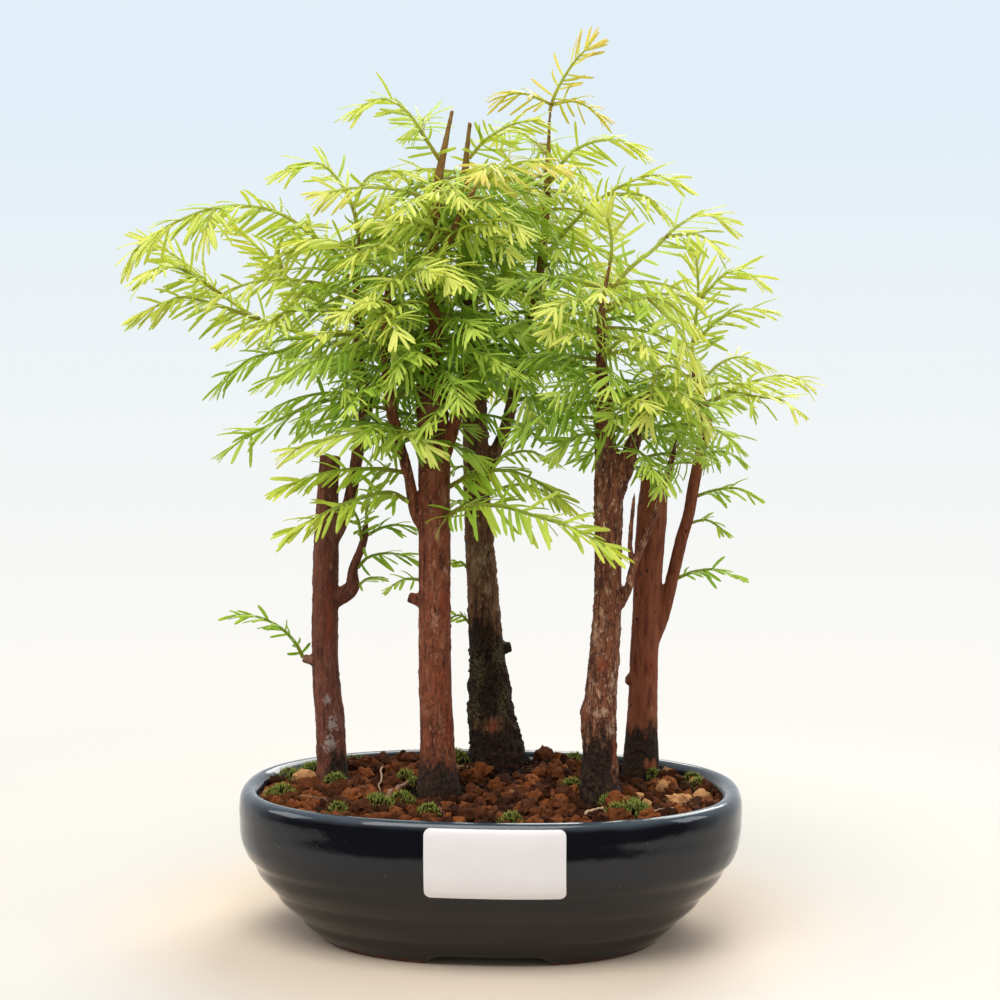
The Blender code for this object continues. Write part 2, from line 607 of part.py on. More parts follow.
def limb_route(tree, limb):
    """A limb's middle line and radii, with the trunk carried down into the soil."""
    route = [(seen(x, z, depth), seen_width(width, depth) / 2.0)
             for x, z, depth, width in TREES[tree][limb]]
    if limb == "trunk":
        place, radius = route[0]
        foot = Vector((place.x, place.y, TREE_FOOT))
        route.insert(0, (foot, radius))
    return route


def make_tree(tree):
    """One trunk with its woody branches grown into it."""
    trunk_mesh = make_limb(tree + "_trunk", limb_route(tree, "trunk"), 10)
    trunk = make_object(tree + "_tree", trunk_mesh, parts)
    limbs = bpy.data.collections.new(tree + "_limbs")
    cutters.children.link(limbs)
    for limb in list(TREES[tree])[1:]:
        mesh = make_limb(tree + "_" + limb, limb_route(tree, limb), 6)
        hide_cutter(make_object(tree + "_" + limb, mesh, limbs))
    add_boolean(trunk, "UNION", limbs)
    shape = trunk.evaluated_get(bpy.context.evaluated_depsgraph_get())
    grown = bpy.data.meshes.new_from_object(shape)
    trunk.modifiers.clear()
    trunk.data = grown
    for limb in list(limbs.objects):
        bpy.data.objects.remove(limb)
    bpy.data.collections.remove(limbs)
    smooth(trunk, 50.0)
    finish(trunk, BARK[tree])
    return trunk


def curve_through(points, share):
    """A point of the smooth curve through hand-set points, at a share of its way."""
    spans = len(points) - 1
    span = min(int(share * spans), spans - 1)
    t = share * spans - span
    b = points[span]
    c = points[span + 1]
    a = points[span - 1] if span > 0 else b * 2.0 - c
    d = points[span + 2] if span + 2 <= spans else c * 2.0 - b
    return 0.5 * (b * 2.0 + (c - a) * t + (a * 2.0 - b * 5.0 + c * 4.0 - d) * t ** 2
                  + (b * 3.0 - a - c * 3.0 + d) * t ** 3)


def even_rows(points, pitch):
    """Rows one pitch apart along a smooth route, which end short of it for the end needle."""
    fine = [curve_through(points, step / 200.0) for step in range(201)]
    lengths = [0.0]
    for before, after in zip(fine, fine[1:]):
        lengths.append(lengths[-1] + (after - before).length)
    reach = lengths[-1] - min(TIP_TRIM, TIP_TRIM_SHARE * lengths[-1])
    count = max(3, round(reach / pitch))
    rows = []
    at = 0
    for row in range(count + 1):
        want = reach * row / count
        while at < 199 and lengths[at + 1] < want:
            at += 1
        span = max(lengths[at + 1] - lengths[at], 1e-9)
        rows.append(fine[at].lerp(fine[at + 1], (want - lengths[at]) / span))
    return rows


def seat(tree, limb, z, toward):
    """Where a spray meets its limb: just off the bark, on the side it grows to."""
    route = limb_route(tree, limb)
    if z is None:
        place, _ = route[-1]
        along = (place - route[-2][0]).normalized()
        bend = 1.0 - (toward - place).normalized().dot(along)
        return place + along * (GAP + SEAT_FLAT + SEAT_STEEP * min(2.0 * bend, 1.0))
    shown = [spot[1] for spot in TREES[tree][limb]]
    line = route[1:] if limb == "trunk" else route
    for number in range(len(shown) - 1):
        if shown[number] <= z <= shown[number + 1]:
            break
    share = (z - shown[number]) / (shown[number + 1] - shown[number])
    place = line[number][0].lerp(line[number + 1][0], share)
    radius = line[number][1] + share * (line[number + 1][1] - line[number][1])
    along = (line[number + 1][0] - line[number][0]).normalized()
    away = toward - place
    steep = abs(away.normalized().dot(along))
    away -= along * away.dot(along)
    return place + away.normalized() * (radius + GAP + SEAT_FLAT + (SEAT_STEEP - SEAT_FLAT) * steep)


class Spray:
    """A rib with two ranks of needles, kept as an open skin until it is thickened."""

    def __init__(self, points, options, ends=None):
        self.face = options.get("face", "up")
        self.length = NEEDLE_LENGTH * options.get("length", 1.0)
        self.droop = NEEDLE_DROOP * options.get("droop", 1.0)
        self.rows = even_rows(points, NEEDLE_PITCH)
        self.ends = ends
        self.frames = [self.frame(row) for row in range(len(self.rows))]
        self.taken = set()

    def frame(self, row):
        """Along, side and upper directions at a row."""
        before = self.rows[max(row - 1, 0)]
        after = self.rows[min(row + 1, len(self.rows) - 1)]
        along = (after - before).normalized()
        if self.face == "front":
            upper = Vector((0.0, -1.0, 0.0))
        else:
            outward = self.rows[row] - Vector((CROWN_X, CROWN_Y, self.rows[row].z))
            upper = Vector((0.0, 0.0, 1.0)) + outward.normalized() * OUTWARD_TILT
        upper = (upper - along * upper.dot(along)).normalized()
        return along, along.cross(upper), upper

    def edge(self, row, side):
        """One edge point of the rib: side 1 is its right edge and -1 its left."""
        if row == 0 and self.ends:
            return self.ends[0] if side < 0 else self.ends[1]
        share = row / (len(self.rows) - 1)
        half = RIB_WIDTH * (1.0 - 0.45 * share) / 2.0
        return self.rows[row] + self.frames[row][1] * side * half

    def needle_tip(self, row, side, draw):
        """The far end of the needle that stands between a row and the next."""
        last = len(self.rows) - 1
        share = (row + 0.5) / last
        along, across, upper = self.frames[row]
        lean = NEEDLE_LEAN_FIRST + (NEEDLE_LEAN_LAST - NEEDLE_LEAN_FIRST) * share
        lean += math.radians(draw.uniform(-5.0, 5.0))
        droop = self.droop + math.radians(draw.uniform(-9.0, 9.0))
        out = across * side * math.cos(droop) - upper * math.sin(droop)
        size = self.length * (0.66 + 0.34 * math.sin(math.pi * min(share + 0.12, 1.0)))
        foot = (self.edge(row, side) + self.edge(row + 1, side)) / 2.0
        return foot + (along * math.cos(lean) + out * math.sin(lean)) * size

    def rib_faces(self):
        """The rib as triangles."""
        faces = []
        for row in range(len(self.rows) - 1):
            left, right = self.edge(row, -1), self.edge(row, 1)
            next_left, next_right = self.edge(row + 1, -1), self.edge(row + 1, 1)
            faces.append((left, right, next_right))
            faces.append((left, next_right, next_left))
        return faces

    def end_tip(self):
        """The far end of the needle that closes the rib."""
        along, _, upper = self.frames[-1]
        down = math.sin(self.droop / 2.0)
        return self.rows[-1] + (along - upper * down).normalized() * self.length * END_NEEDLE_SHARE

    def sites(self, draw):
        """Where needles may stand: their two feet and their tip, by row and side."""
        last = len(self.rows) - 1
        for row in range(BARE_ROWS + (1 if self.ends else 0), last):
            for side in (-1, 1):
                tip = self.needle_tip(row, side, draw)
                if (row, side) not in self.taken:
                    yield row, side, (self.edge(row, side), self.edge(row + 1, side)), tip
        yield last, 0, (self.edge(last, -1), self.edge(last, 1)), self.end_tip()


def needle_block(foot_a, foot_b, tip):
    """A thick hull round a needle, which nothing else may enter."""
    up = (foot_b - foot_a).cross(tip - foot_a).normalized()
    middle = (foot_a + foot_b) / 2.0
    side = (foot_b - foot_a).normalized() * CLEAR_BESIDE
    end = tip + (tip - middle).normalized() * CLEAR_BEYOND
    base = [foot_a - side, foot_b + side, end + side, end - side]
    points = [point + up * CLEAR_ABOVE for point in base]
    points += [point - up * CLEAR_ABOVE for point in base]
    faces = [(0, 1, 2, 3), (7, 6, 5, 4), (0, 4, 5, 1), (1, 5, 6, 2), (2, 6, 7, 3), (3, 7, 4, 0)]
    return BVHTree.FromPolygons(points, faces)


def tree_of(triangles):
    """A search tree of loose triangles."""
    points = [point for triangle in triangles for point in triangle]
    faces = [(3 * n, 3 * n + 1, 3 * n + 2) for n in range(len(triangles))]
    return BVHTree.FromPolygons(points, faces)


def side_of(spray, row, toward):
    """Which edge of the rib a side spray leaves, to reach where it goes."""
    across = spray.frames[row][1]
    return 1 if (toward - spray.rows[row]).dot(across) > 0.0 else -1


def lay_out_sprays():
    """Every spray with its side sprays, as a list of nodes."""
    nodes = []
    for tree, sprays in SPRAYS.items():
        for number, (limb, z, route, options) in enumerate(sprays, start=1):
            points = [seen(*spot) for spot in route]
            points.insert(0, seat(tree, limb, z, points[0]))
            main = Spray(points, options)
            members = [(main, None)]
            for share, side_route in options.get("sides", []):
                row = max(1, round(share * (len(main.rows) - 1)))
                side_points = [seen(*spot) for spot in side_route]
                side = side_of(main, row, side_points[0])
                while (row, side) in main.taken:
                    row += 1
                foot = [main.edge(row, side), main.edge(row + 1, side)]
                side_points.insert(0, (foot[0] + foot[1]) / 2.0)
                ends = (foot[1], foot[0]) if side > 0 else (foot[0], foot[1])
                main.taken.add((row, side))
                branch = Spray(side_points, {"length": options.get("length", 1.0)}, ends)
                members.append((branch, (row, side)))
            nodes.append((f"{tree}_spray_{number:02d}", members))
    return nodes


def grow_needles(nodes, trees):
    """Give each rib its needles, and leave out any that would touch something else."""
    draw = random.Random(SEED)
    bark = [BVHTree.FromPolygons([vert.co / MM for vert in tree.data.vertices],
                                 [tuple(face.vertices) for face in tree.data.polygons])
            for tree in trees]
    every = [spray for _, members in nodes for spray, _ in members]
    ribs = {id(spray): tree_of(spray.rib_faces()) for spray in every}
    needles = {id(spray): [] for spray in every}
    grown = {}
    left_out = 0
    for spray in every:
        mine = []
        others = [ribs[id(other)] for other in every if other is not spray]
        others += [needles[id(other)] for other in every if needles[id(other)]]
        for row, side, feet, tip in spray.sites(draw):
            middle = (feet[0] + feet[1]) / 2.0
            for cut in SHORT_CUTS:
                short = middle.lerp(tip, cut)
                block = needle_block(*feet, short)
                if not any(block.overlap(other) for other in bark + others):
                    mine.append((row, side, feet, short))
                    break
            else:
                left_out += 1
        grown[id(spray)] = mine
        solid = [(*feet, tip) for _, _, feet, tip in mine]
        needles[id(spray)] = tree_of(solid) if solid else []
    print("needles:", sum(len(mine) for mine in grown.values()), "left out:", left_out)
    return grown


def make_spray_node(name, members, grown, look):
    """One node: a rib, its side ribs and their needles, thickened from one open skin."""
    work = bmesh.new()
    weights = work.verts.layers.deform.verify()
    known = {}

    def vert(place, weight):
        key = tuple(round(value, 4) for value in place)
        if key not in known:
            known[key] = work.verts.new(place)
            known[key][weights][0] = weight
        return known[key]

    core = 1.0
    fine = NEEDLE_THICKNESS / RIB_THICKNESS
    for spray, _ in members:
        last = len(spray.rows) - 1
        for row in range(last):
            corners = [spray.edge(row, -1), spray.edge(row, 1),
                       spray.edge(row + 1, 1), spray.edge(row + 1, -1)]
            heavy = [core + (fine - core) * at / last for at in (row, row, row + 1, row + 1)]
            corners = [vert(place, weight) for place, weight in zip(corners, heavy)]
            work.faces.new((corners[0], corners[1], corners[2]))
            work.faces.new((corners[0], corners[2], corners[3]))
        for _, side, feet, tip in grown[id(spray)]:
            corners = [vert(feet[0], core), vert(feet[1], core), vert(tip, fine)]
            order = (0, 2, 1) if side > 0 else (0, 1, 2)
            work.faces.new([corners[at] for at in order])
    mesh = bpy.data.meshes.new(name)
    work.to_mesh(mesh)
    work.free()
    item = make_object(name, mesh, parts)
    item.vertex_groups.new(name="thickness")
    thick = item.modifiers.new("thickness", "SOLIDIFY")
    thick.thickness = RIB_THICKNESS * MM
    thick.offset = 0.0
    thick.vertex_group = "thickness"
    finish(item, look)


def spray_look(members):
    """High and outer sprays are young and yellow, inner and low ones are deep green."""
    tip = members[0][0].rows[-1]
    if tip.z > GOLDEN_ABOVE:
        return GOLDEN_GREEN
    outer = math.hypot((tip.x - CROWN_X) / CROWN_HALF_LENGTH, (tip.y - CROWN_Y) / CROWN_HALF_WIDTH)
    light = outer + (tip.z - CROWN_BASE) / CROWN_HALF_LENGTH
    if light > YOUNG_LIGHT:
        return YOUNG_GREEN
    return FULL_GREEN if light > FULL_LIGHT else DEEP_GREEN


def centre_all():
    """Hang everything on one empty and set the whole object's middle over the origin."""
    centre = bpy.data.objects.new("forest_centre", None)
    parts.objects.link(centre)
    cutters_too = [item for item in bpy.data.objects if item is not centre]
    for item in cutters_too:
        item.parent = centre
    centre.location = (-CENTRE_X * MM, -CENTRE_Y * MM, 0.0)


def main():
    clear_scene()
    bpy.context.scene.collection.children.link(parts)
    bpy.context.scene.collection.children.link(cutters)
    make_pot()
    make_label()
    make_soil()
    trees = [make_tree(tree) for tree in TREES]
    nodes = lay_out_sprays()
    grown = grow_needles(nodes, trees)
    for name, members in nodes:
        make_spray_node(name, members, grown, spray_look(members))
    centre_all()


main()
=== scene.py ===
# %% [markdown]
# A dawn redwood forest in an oval bonsai pot.
# Five young dawn redwoods grow from baked clay soil in one low glazed pot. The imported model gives
# every place and size, so it is loaded first, and each finer piece is built where its solid stands.

# %% Load the frame
import math
import random

import bmesh
import bpy
from mathutils import Matrix, Vector, geometry, noise
from mathutils.kdtree import KDTree


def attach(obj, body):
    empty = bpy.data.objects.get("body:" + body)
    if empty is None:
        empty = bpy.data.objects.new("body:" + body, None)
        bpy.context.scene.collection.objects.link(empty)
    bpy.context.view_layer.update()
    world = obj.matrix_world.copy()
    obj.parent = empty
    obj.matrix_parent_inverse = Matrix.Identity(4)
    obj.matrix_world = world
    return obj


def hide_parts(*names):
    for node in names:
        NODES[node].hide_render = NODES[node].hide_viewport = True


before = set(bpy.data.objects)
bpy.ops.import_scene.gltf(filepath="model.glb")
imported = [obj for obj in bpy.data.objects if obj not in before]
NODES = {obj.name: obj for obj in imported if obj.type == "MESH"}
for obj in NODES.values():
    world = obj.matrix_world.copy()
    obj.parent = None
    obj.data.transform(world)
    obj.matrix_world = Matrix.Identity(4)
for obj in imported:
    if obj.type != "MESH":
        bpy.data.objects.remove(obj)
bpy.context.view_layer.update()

print("nodes:", len(NODES))

# %% [markdown]
# The layout is drawn in millimetres from the pot's middle, because small plants are measured that
# way. One matrix at the end turns it into the frame's metres. Branches are read off a front view:
# x and z say where a point shows, and depth says how far behind the pot's middle it lies.

# %% The layout's own units
MM = 0.001
EYE_X = 3.7
EYE_DISTANCE = 789.0
EYE_HEIGHT = 228.0
VIEW_TURN = math.radians(5.0)
VIEW_PITCH = 0.082
CENTRE_X = -8.37
CENTRE_Y = 8.86
CROWN_X = -8.2
CROWN_Y = 11.8
SEED = 7
TO_FRAME = Matrix.Scale(MM, 4) @ Matrix.Translation((-CENTRE_X, -CENTRE_Y, 0.0))


def seen(x, z, depth):
    """The place at a depth that shows at x and z in the front view."""
    reach = (EYE_DISTANCE + depth) / EYE_DISTANCE
    place = Vector((EYE_X + (x - EYE_X) * reach, depth, EYE_HEIGHT + (z - EYE_HEIGHT) * reach))
    return Matrix.Rotation(VIEW_TURN, 3, "Z") @ place


def shown(place):
    """The x and z at which a place shows in the front view."""
    turned = Matrix.Rotation(-VIEW_TURN, 3, "Z") @ place
    reach = (EYE_DISTANCE + turned.y) / EYE_DISTANCE
    return EYE_X + (turned.x - EYE_X) / reach, EYE_HEIGHT + (turned.z - EYE_HEIGHT) / reach


def seen_width(width, depth):
    """The real width of what shows this wide at a depth."""
    return width * (EYE_DISTANCE + depth) / EYE_DISTANCE


# %% [markdown]
# Every piece is made the same way: points and faces in millimetres, one finish, and a few numbers
# on its points that the finish reads. A mesh attribute is chosen for those numbers because it
# travels with the shape and needs no image.

# %% Make a piece
scene = bpy.context.scene


def make_piece(name, points, faces, finish, values=None):
    """Turn points and faces into a smooth piece that rides on the one body."""
    mesh = bpy.data.meshes.new(name)
    mesh.from_pydata(points, [], faces)
    mesh.transform(TO_FRAME)
    mesh.shade_smooth()
    for key, numbers in (values or {}).items():
        layer = mesh.attributes.new(key, "FLOAT", "POINT")
        layer.data.foreach_set("value", numbers)
    mesh.materials.append(finish)
    item = bpy.data.objects.new(name, mesh)
    scene.collection.objects.link(item)
    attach(item, "root")
    return item


# %% [markdown]
# A finish is a small network of shader nodes. Writing it as sums is easier to read than wiring
# nodes one by one, so a wire stands for one value, and adding or multiplying wires adds the nodes.

# %% Shader maths in plain Python
def paint(red, green, blue):
    """A colour from 0 to 255 as the shader's linear colour."""
    parts = []
    for part in (red, green, blue):
        part /= 255.0
        parts.append(part / 12.92 if part <= 0.04045 else ((part + 0.055) / 1.055) ** 2.4)
    return (*parts, 1.0)


class Wire:
    """A value in a finish that can be added, taken away, multiplied and limited."""

    def __init__(self, finish, socket):
        self.finish = finish
        self.socket = socket

    def calc(self, operation, first, second):
        return self.finish.node("Math", {"operation": operation}, {0: first, 1: second})

    def __add__(self, other):
        return self.calc("ADD", self, other)

    def __sub__(self, other):
        return self.calc("SUBTRACT", self, other)

    def __rsub__(self, other):
        return self.calc("SUBTRACT", other, self)

    def __mul__(self, other):
        return self.calc("MULTIPLY", self, other)

    def between(self, low, high):
        """0 below the low value, 1 above the high one, and a soft rise between them."""
        return self.finish.node("MapRange", {"interpolation_type": "SMOOTHSTEP"},
                                {0: self, 1: low, 2: high, 3: 0.0, 4: 1.0})


class Finish:
    """One finish: its nodes, its main shader and short ways to add to them."""

    def __init__(self, name, constants=None):
        self.material = bpy.data.materials.new(name)
        self.material.use_nodes = True
        self.nodes = self.material.node_tree.nodes
        self.links = self.material.node_tree.links
        self.shader = self.nodes["Principled BSDF"]
        for socket, value in (constants or {}).items():
            self.shader.inputs[socket].default_value = value

    def node(self, kind, settings=None, values=None, output=0):
        """Add a node of a kind, set it up, and give back one of its outputs."""
        made = self.nodes.new("ShaderNode" + kind)
        for key, value in (settings or {}).items():
            setattr(made, key, value)
        for key, value in (values or {}).items():
            if isinstance(value, Wire):
                self.links.new(value.socket, made.inputs[key])
            else:
                made.inputs[key].default_value = value
        return Wire(self, made.outputs[output])

    def place(self, stretch=(1.0, 1.0, 1.0)):
        """The point on the piece in millimetres, stretched along each axis."""
        spot = self.node("TexCoord", output=3)
        scale = [part / MM for part in stretch]
        return self.node("VectorMath", {"operation": "MULTIPLY"}, {0: spot, 1: scale})

    def height(self):
        """How high the point is, in millimetres."""
        return self.node("SeparateXYZ", values={0: self.place()}, output=2)

    def cloud(self, size, detail=3.0, rough=0.5, stretch=(1.0, 1.0, 1.0)):
        """Soft blotches about this many millimetres across, from 0 to 1."""
        return self.node("TexNoise", values={"Vector": self.place(stretch), "Scale": 1.0 / size,
                                             "Detail": detail, "Roughness": rough})

    def cells(self, size, stretch=(1.0, 1.0, 1.0)):
        """Distance from the nearest of many scattered dots, counted in dot spacings."""
        return self.node("TexVoronoi", values={"Vector": self.place(stretch), "Scale": 1.0 / size})

    def value(self, name):
        """A number that the piece's mesh carries."""
        return self.node("Attribute", {"attribute_name": name}, output=2)

    def blend(self, low, high, share):
        """A colour between two, in the share given."""
        return self.node("Mix", {"data_type": "RGBA", "clamp_factor": True},
                         {0: share, 6: low, 7: high}, output=2)

    def feed(self, socket, wire):
        """Link a wire into the main shader."""
        self.links.new(wire.socket, self.shader.inputs[socket])

    def bump(self, height, strength, depth):
        """Let a wire raise the surface by up to a depth in millimetres."""
        made = self.node("Bump", values={"Height": height, "Strength": strength,
                                         "Distance": depth * MM})
        self.feed("Normal", made)


# %% [markdown]
# The photo is bright and soft: a pale table, a pale wall and a large light above. The camera sees
# the wall, and an even tent of light reaches the object from all sides. Only mirrors see a room
# that is dark in front, because the pot's gloss needs something dark to mirror, and the table
# melts away in front for the same reason. Area lights are chosen because their shadows are soft.

# %% Floor, wall, lights and camera
FLOOR_RADIUS = 0.5
FLOOR_FADE = 0.26
TABLE_EDGE = -0.255
TABLE_EDGE_SOFT = 0.09
WALL_LOW = paint(252, 250, 245)
WALL_HIGH = paint(226, 239, 248)
WALL_HORIZON = (-0.16, 0.1)
TENT_LIGHT = 0.5
TENT_COLOUR = (1.0, 0.99, 0.97, 1.0)
ROOM_COLOUR = (0.93, 0.97, 1.0, 1.0)
ROOM_DARK = 0.06
ROOM_ABOVE = ((0.3, 0.85), 1.1)
ROOM_BEHIND = ((-0.25, 0.45), 1.0)
TABLE_NEAR_BOUNCE_TINT = paint(215, 198, 178)
TABLE_FAR = paint(201, 198, 193)
TABLE_BOUNCE_REACH = (0.08, 0.17)
CAMERA_SENSOR = 36.0
CAMERA_LENS = 75.6
LIGHTS = [
    ("light_above", (-0.15, -0.55, 1.15), (0.0, 0.0, 0.15), 0.9, 13.0, (1.0, 0.99, 0.97)),
    ("light_behind", (0.25, 0.9, 0.95), (0.0, 0.0, 0.22), 0.8, 13.0, (1.0, 0.98, 0.93)),
    ("light_left", (-1.1, -0.1, 0.7), (0.0, 0.0, 0.15), 0.5, 3.0, (0.92, 0.97, 1.0)),
    ("light_right", (1.1, 0.0, 0.7), (0.0, 0.0, 0.15), 0.5, 3.0, (0.92, 0.97, 1.0)),
]


def make_floor():
    """A round table whose edge melts into the wall: grey farther out, and painted warm near the pot as warm
    bounce light in the pot's shade.
    """
    finish = Finish("pale_table", {"Roughness": 0.7, "Specular IOR Level": 0.2})
    spot = finish.node("VectorMath", {"operation": "MULTIPLY"},
                       {0: finish.node("TexCoord", output=3), 1: (1.0, 1.0, 0.0)})
    out = finish.node("VectorMath", {"operation": "LENGTH"}, {0: spot}, output=1)
    fade = 1.0 - out.between(FLOOR_RADIUS - FLOOR_FADE, FLOOR_RADIUS)
    depth = finish.node("SeparateXYZ", values={0: finish.node("TexCoord", output=3)}, output=1)
    # Near the pot the table's colour is painted warm bounce light in the pot's shade.
    finish.feed("Base Color", finish.blend(TABLE_NEAR_BOUNCE_TINT, TABLE_FAR, out.between(*TABLE_BOUNCE_REACH)))
    finish.feed("Alpha", fade * depth.between(TABLE_EDGE, TABLE_EDGE + TABLE_EDGE_SOFT))
    work = bmesh.new()
    bmesh.ops.create_circle(work, cap_ends=True, segments=96, radius=FLOOR_RADIUS)
    mesh = bpy.data.meshes.new("floor")
    work.to_mesh(mesh)
    work.free()
    mesh.materials.append(finish.material)
    floor = bpy.data.objects.new("floor", mesh)
    floor.location.z = -0.0003
    scene.collection.objects.link(floor)


def make_wall():
    """The wall for the camera, the dark room for mirrors, and the tent of light for the rest."""
    world = bpy.data.worlds.new("studio")
    scene.world = world
    world.use_nodes = True
    tree = world.node_tree
    tree.nodes.clear()
    spot = tree.nodes.new("ShaderNodeTexCoord")
    parts = tree.nodes.new("ShaderNodeSeparateXYZ")
    tree.links.new(spot.outputs["Generated"], parts.inputs[0])

    def ramp(axis, low, high, start, end):
        """A value that changes along one axis of the view."""
        made = tree.nodes.new("ShaderNodeMapRange")
        for number, value in enumerate((low, high, start, end), start=1):
            made.inputs[number].default_value = value
        tree.links.new(parts.outputs[axis], made.inputs[0])
        return made.outputs[0]

    def most(first, second):
        """The larger of two values."""
        made = tree.nodes.new("ShaderNodeMath")
        made.operation = "MAXIMUM"
        tree.links.new(first, made.inputs[0])
        tree.links.new(second, made.inputs[1])
        return made.outputs[0]

    colours = tree.nodes.new("ShaderNodeMix")
    colours.data_type = "RGBA"
    colours.inputs[6].default_value = WALL_LOW
    colours.inputs[7].default_value = WALL_HIGH
    tree.links.new(ramp("Z", *WALL_HORIZON, 0.0, 1.0), colours.inputs[0])
    wall = tree.nodes.new("ShaderNodeBackground")
    tree.links.new(colours.outputs[2], wall.inputs["Color"])
    room = tree.nodes.new("ShaderNodeBackground")
    room.inputs["Color"].default_value = ROOM_COLOUR
    above = ramp("Z", *ROOM_ABOVE[0], ROOM_DARK, ROOM_ABOVE[1])
    behind = ramp("Y", *ROOM_BEHIND[0], ROOM_DARK, ROOM_BEHIND[1])
    tree.links.new(most(above, behind), room.inputs["Strength"])
    tent = tree.nodes.new("ShaderNodeBackground")
    tent.inputs["Color"].default_value = TENT_COLOUR
    tent.inputs["Strength"].default_value = TENT_LIGHT
    path = tree.nodes.new("ShaderNodeLightPath")

    def choose(ray, other, chosen):
        """One background for a kind of ray and another for the rest."""
        made = tree.nodes.new("ShaderNodeMixShader")
        tree.links.new(path.outputs[ray], made.inputs["Fac"])
        tree.links.new(other, made.inputs[1])
        tree.links.new(chosen, made.inputs[2])
        return made.outputs[0]

    seen_by_rest = choose("Is Glossy Ray", tent.outputs[0], room.outputs[0])
    seen_by_all = choose("Is Camera Ray", seen_by_rest, wall.outputs[0])
    out = tree.nodes.new("ShaderNodeOutputWorld")
    tree.links.new(seen_by_all, out.inputs["Surface"])


def make_light(name, place, aim, size, power, colour):
    """A square soft light that faces a point."""
    light = bpy.data.lights.new(name, "AREA")
    light.size = size
    light.energy = power
    light.color = colour
    lamp = bpy.data.objects.new(name, light)
    lamp.location = place
    lamp.rotation_euler = (Vector(aim) - Vector(place)).to_track_quat("-Z", "Y").to_euler()
    scene.collection.objects.link(lamp)


def make_camera():
    """The photo's own view, from a little above the middle of the trees."""
    eye = Matrix.Rotation(VIEW_TURN, 3, "Z") @ Vector((EYE_X, -EYE_DISTANCE, EYE_HEIGHT))
    camera = bpy.data.cameras.new("camera")
    camera.sensor_width = CAMERA_SENSOR
    camera.lens = CAMERA_LENS
    item = bpy.data.objects.new("camera", camera)
    item.location = TO_FRAME @ eye
    item.rotation_euler = (math.pi / 2.0 - VIEW_PITCH, 0.0, VIEW_TURN)
    scene.collection.objects.link(item)
    scene.camera = item


make_floor()
make_wall()
scene.view_settings.view_transform = "Standard"
for light in LIGHTS:
    make_light(*light)
make_camera()
print("camera at", [round(part, 3) for part in scene.camera.location])

# %% [markdown]
# The pot is thrown clay with three soft steps down its wall, a rolled rim and four feet. It could
# be a box with rounded sides, but a row of ovals joined into a skin follows a real pot's profile.
# The profile's corners are softened, and the gaps between the feet are made by lifting the lowest
# points, so that their edges stay as round as wet clay leaves them.

# %% The pot's shape
OVAL_POWER = 2.35
POT_SIDES = 180
POT_UNDERSIDE = [(52.0, 37.0, 4.2), (56.0, 41.0, 4.2), (57.5, 42.5, 0.0)]
POT_WALL = [
    (65.5, 52.4, 0.0), (67.5, 53.8, 1.8), (71.4, 55.9, 5.0), (73.3, 56.8, 8.3), (75.7, 58.2, 9.8),
    (80.2, 60.4, 13.5), (82.2, 61.3, 17.6), (84.9, 62.8, 19.5), (88.2, 64.6, 23.2),
    (89.6, 65.3, 27.4), (92.5, 66.8, 30.0), (94.5, 67.6, 35.0), (95.3, 67.9, 41.0),
    (95.5, 68.0, 46.0), (95.1, 67.6, 52.0),
]
POT_RIM = [(93.9, 66.4, 54.2), (92.0, 64.5, 55.0), (89.7, 62.2, 54.6), (88.0, 60.5, 52.6)]
POT_FLOOR = (62.0, 47.0, 9.0)
FOOT_GAP_HEIGHT = 3.5
FRONT_GAP_HALF = 20.5
SIDE_GAP_HALF = 16.0
FRONT_GAP_MIDDLE = 4.0
GAP_EDGE = 5.0
DRAIN_HOLE_RADIUS = 6.0
DRAIN_HOLE_X = 28.0
DRILL_DEPTH = 12.0
DRILL_MIDDLE = 7.0
WALL_SWAY = 0.35
RIDGE_SWAY = 0.4


def soften(line, step, rounds):
    """Walk a line in even steps and rub its corners round."""
    line = [Vector(spot) for spot in line]
    spots = [line[0]]
    for before, after in zip(line, line[1:]):
        count = max(1, round((after - before).length / step))
        spots += [before.lerp(after, number / count) for number in range(1, count + 1)]
    for _ in range(rounds):
        middle = [(a + b * 2.0 + c) / 4.0 for a, b, c in zip(spots, spots[1:], spots[2:])]
        spots = [spots[0]] + middle + [spots[-1]]
    return spots


def oval(half_length, half_width, height, sides):
    """One ring of the pot's rounded oval."""
    ring = []
    for side in range(sides):
        angle = 2.0 * math.pi * side / sides
        x = math.copysign(abs(math.cos(angle)) ** (2.0 / OVAL_POWER), math.cos(angle))
        y = math.copysign(abs(math.sin(angle)) ** (2.0 / OVAL_POWER), math.sin(angle))
        ring.append(Vector((half_length * x, half_width * y, height)))
    return ring


def loft(rings):
    """Join rings of equal count into one closed skin."""
    count = len(rings[0])
    points = [point for ring in rings for point in ring]
    faces = [tuple(reversed(range(count)))]
    for row in range(len(rings) - 1):
        low = row * count
        for side in range(count):
            after = (side + 1) % count
            faces.append((low + side, low + after, low + count + after, low + count + side))
    faces.append(tuple((len(rings) - 1) * count + side for side in range(count)))
    return points, faces


def soft_step(value, low, high):
    """0 below the low value and 1 above the high one, with a soft rise."""
    share = min(max((value - low) / (high - low), 0.0), 1.0)
    return share * share * (3.0 - 2.0 * share)


def foot_gap(x, y):
    """How high the clay is lifted between two feet."""
    front = 1.0 - soft_step(abs(x - FRONT_GAP_MIDDLE), FRONT_GAP_HALF - GAP_EDGE / 2.0,
                            FRONT_GAP_HALF + GAP_EDGE / 2.0)
    side = 1.0 - soft_step(abs(y), SIDE_GAP_HALF - GAP_EDGE / 2.0, SIDE_GAP_HALF + GAP_EDGE / 2.0)
    return FOOT_GAP_HEIGHT * max(front, side)


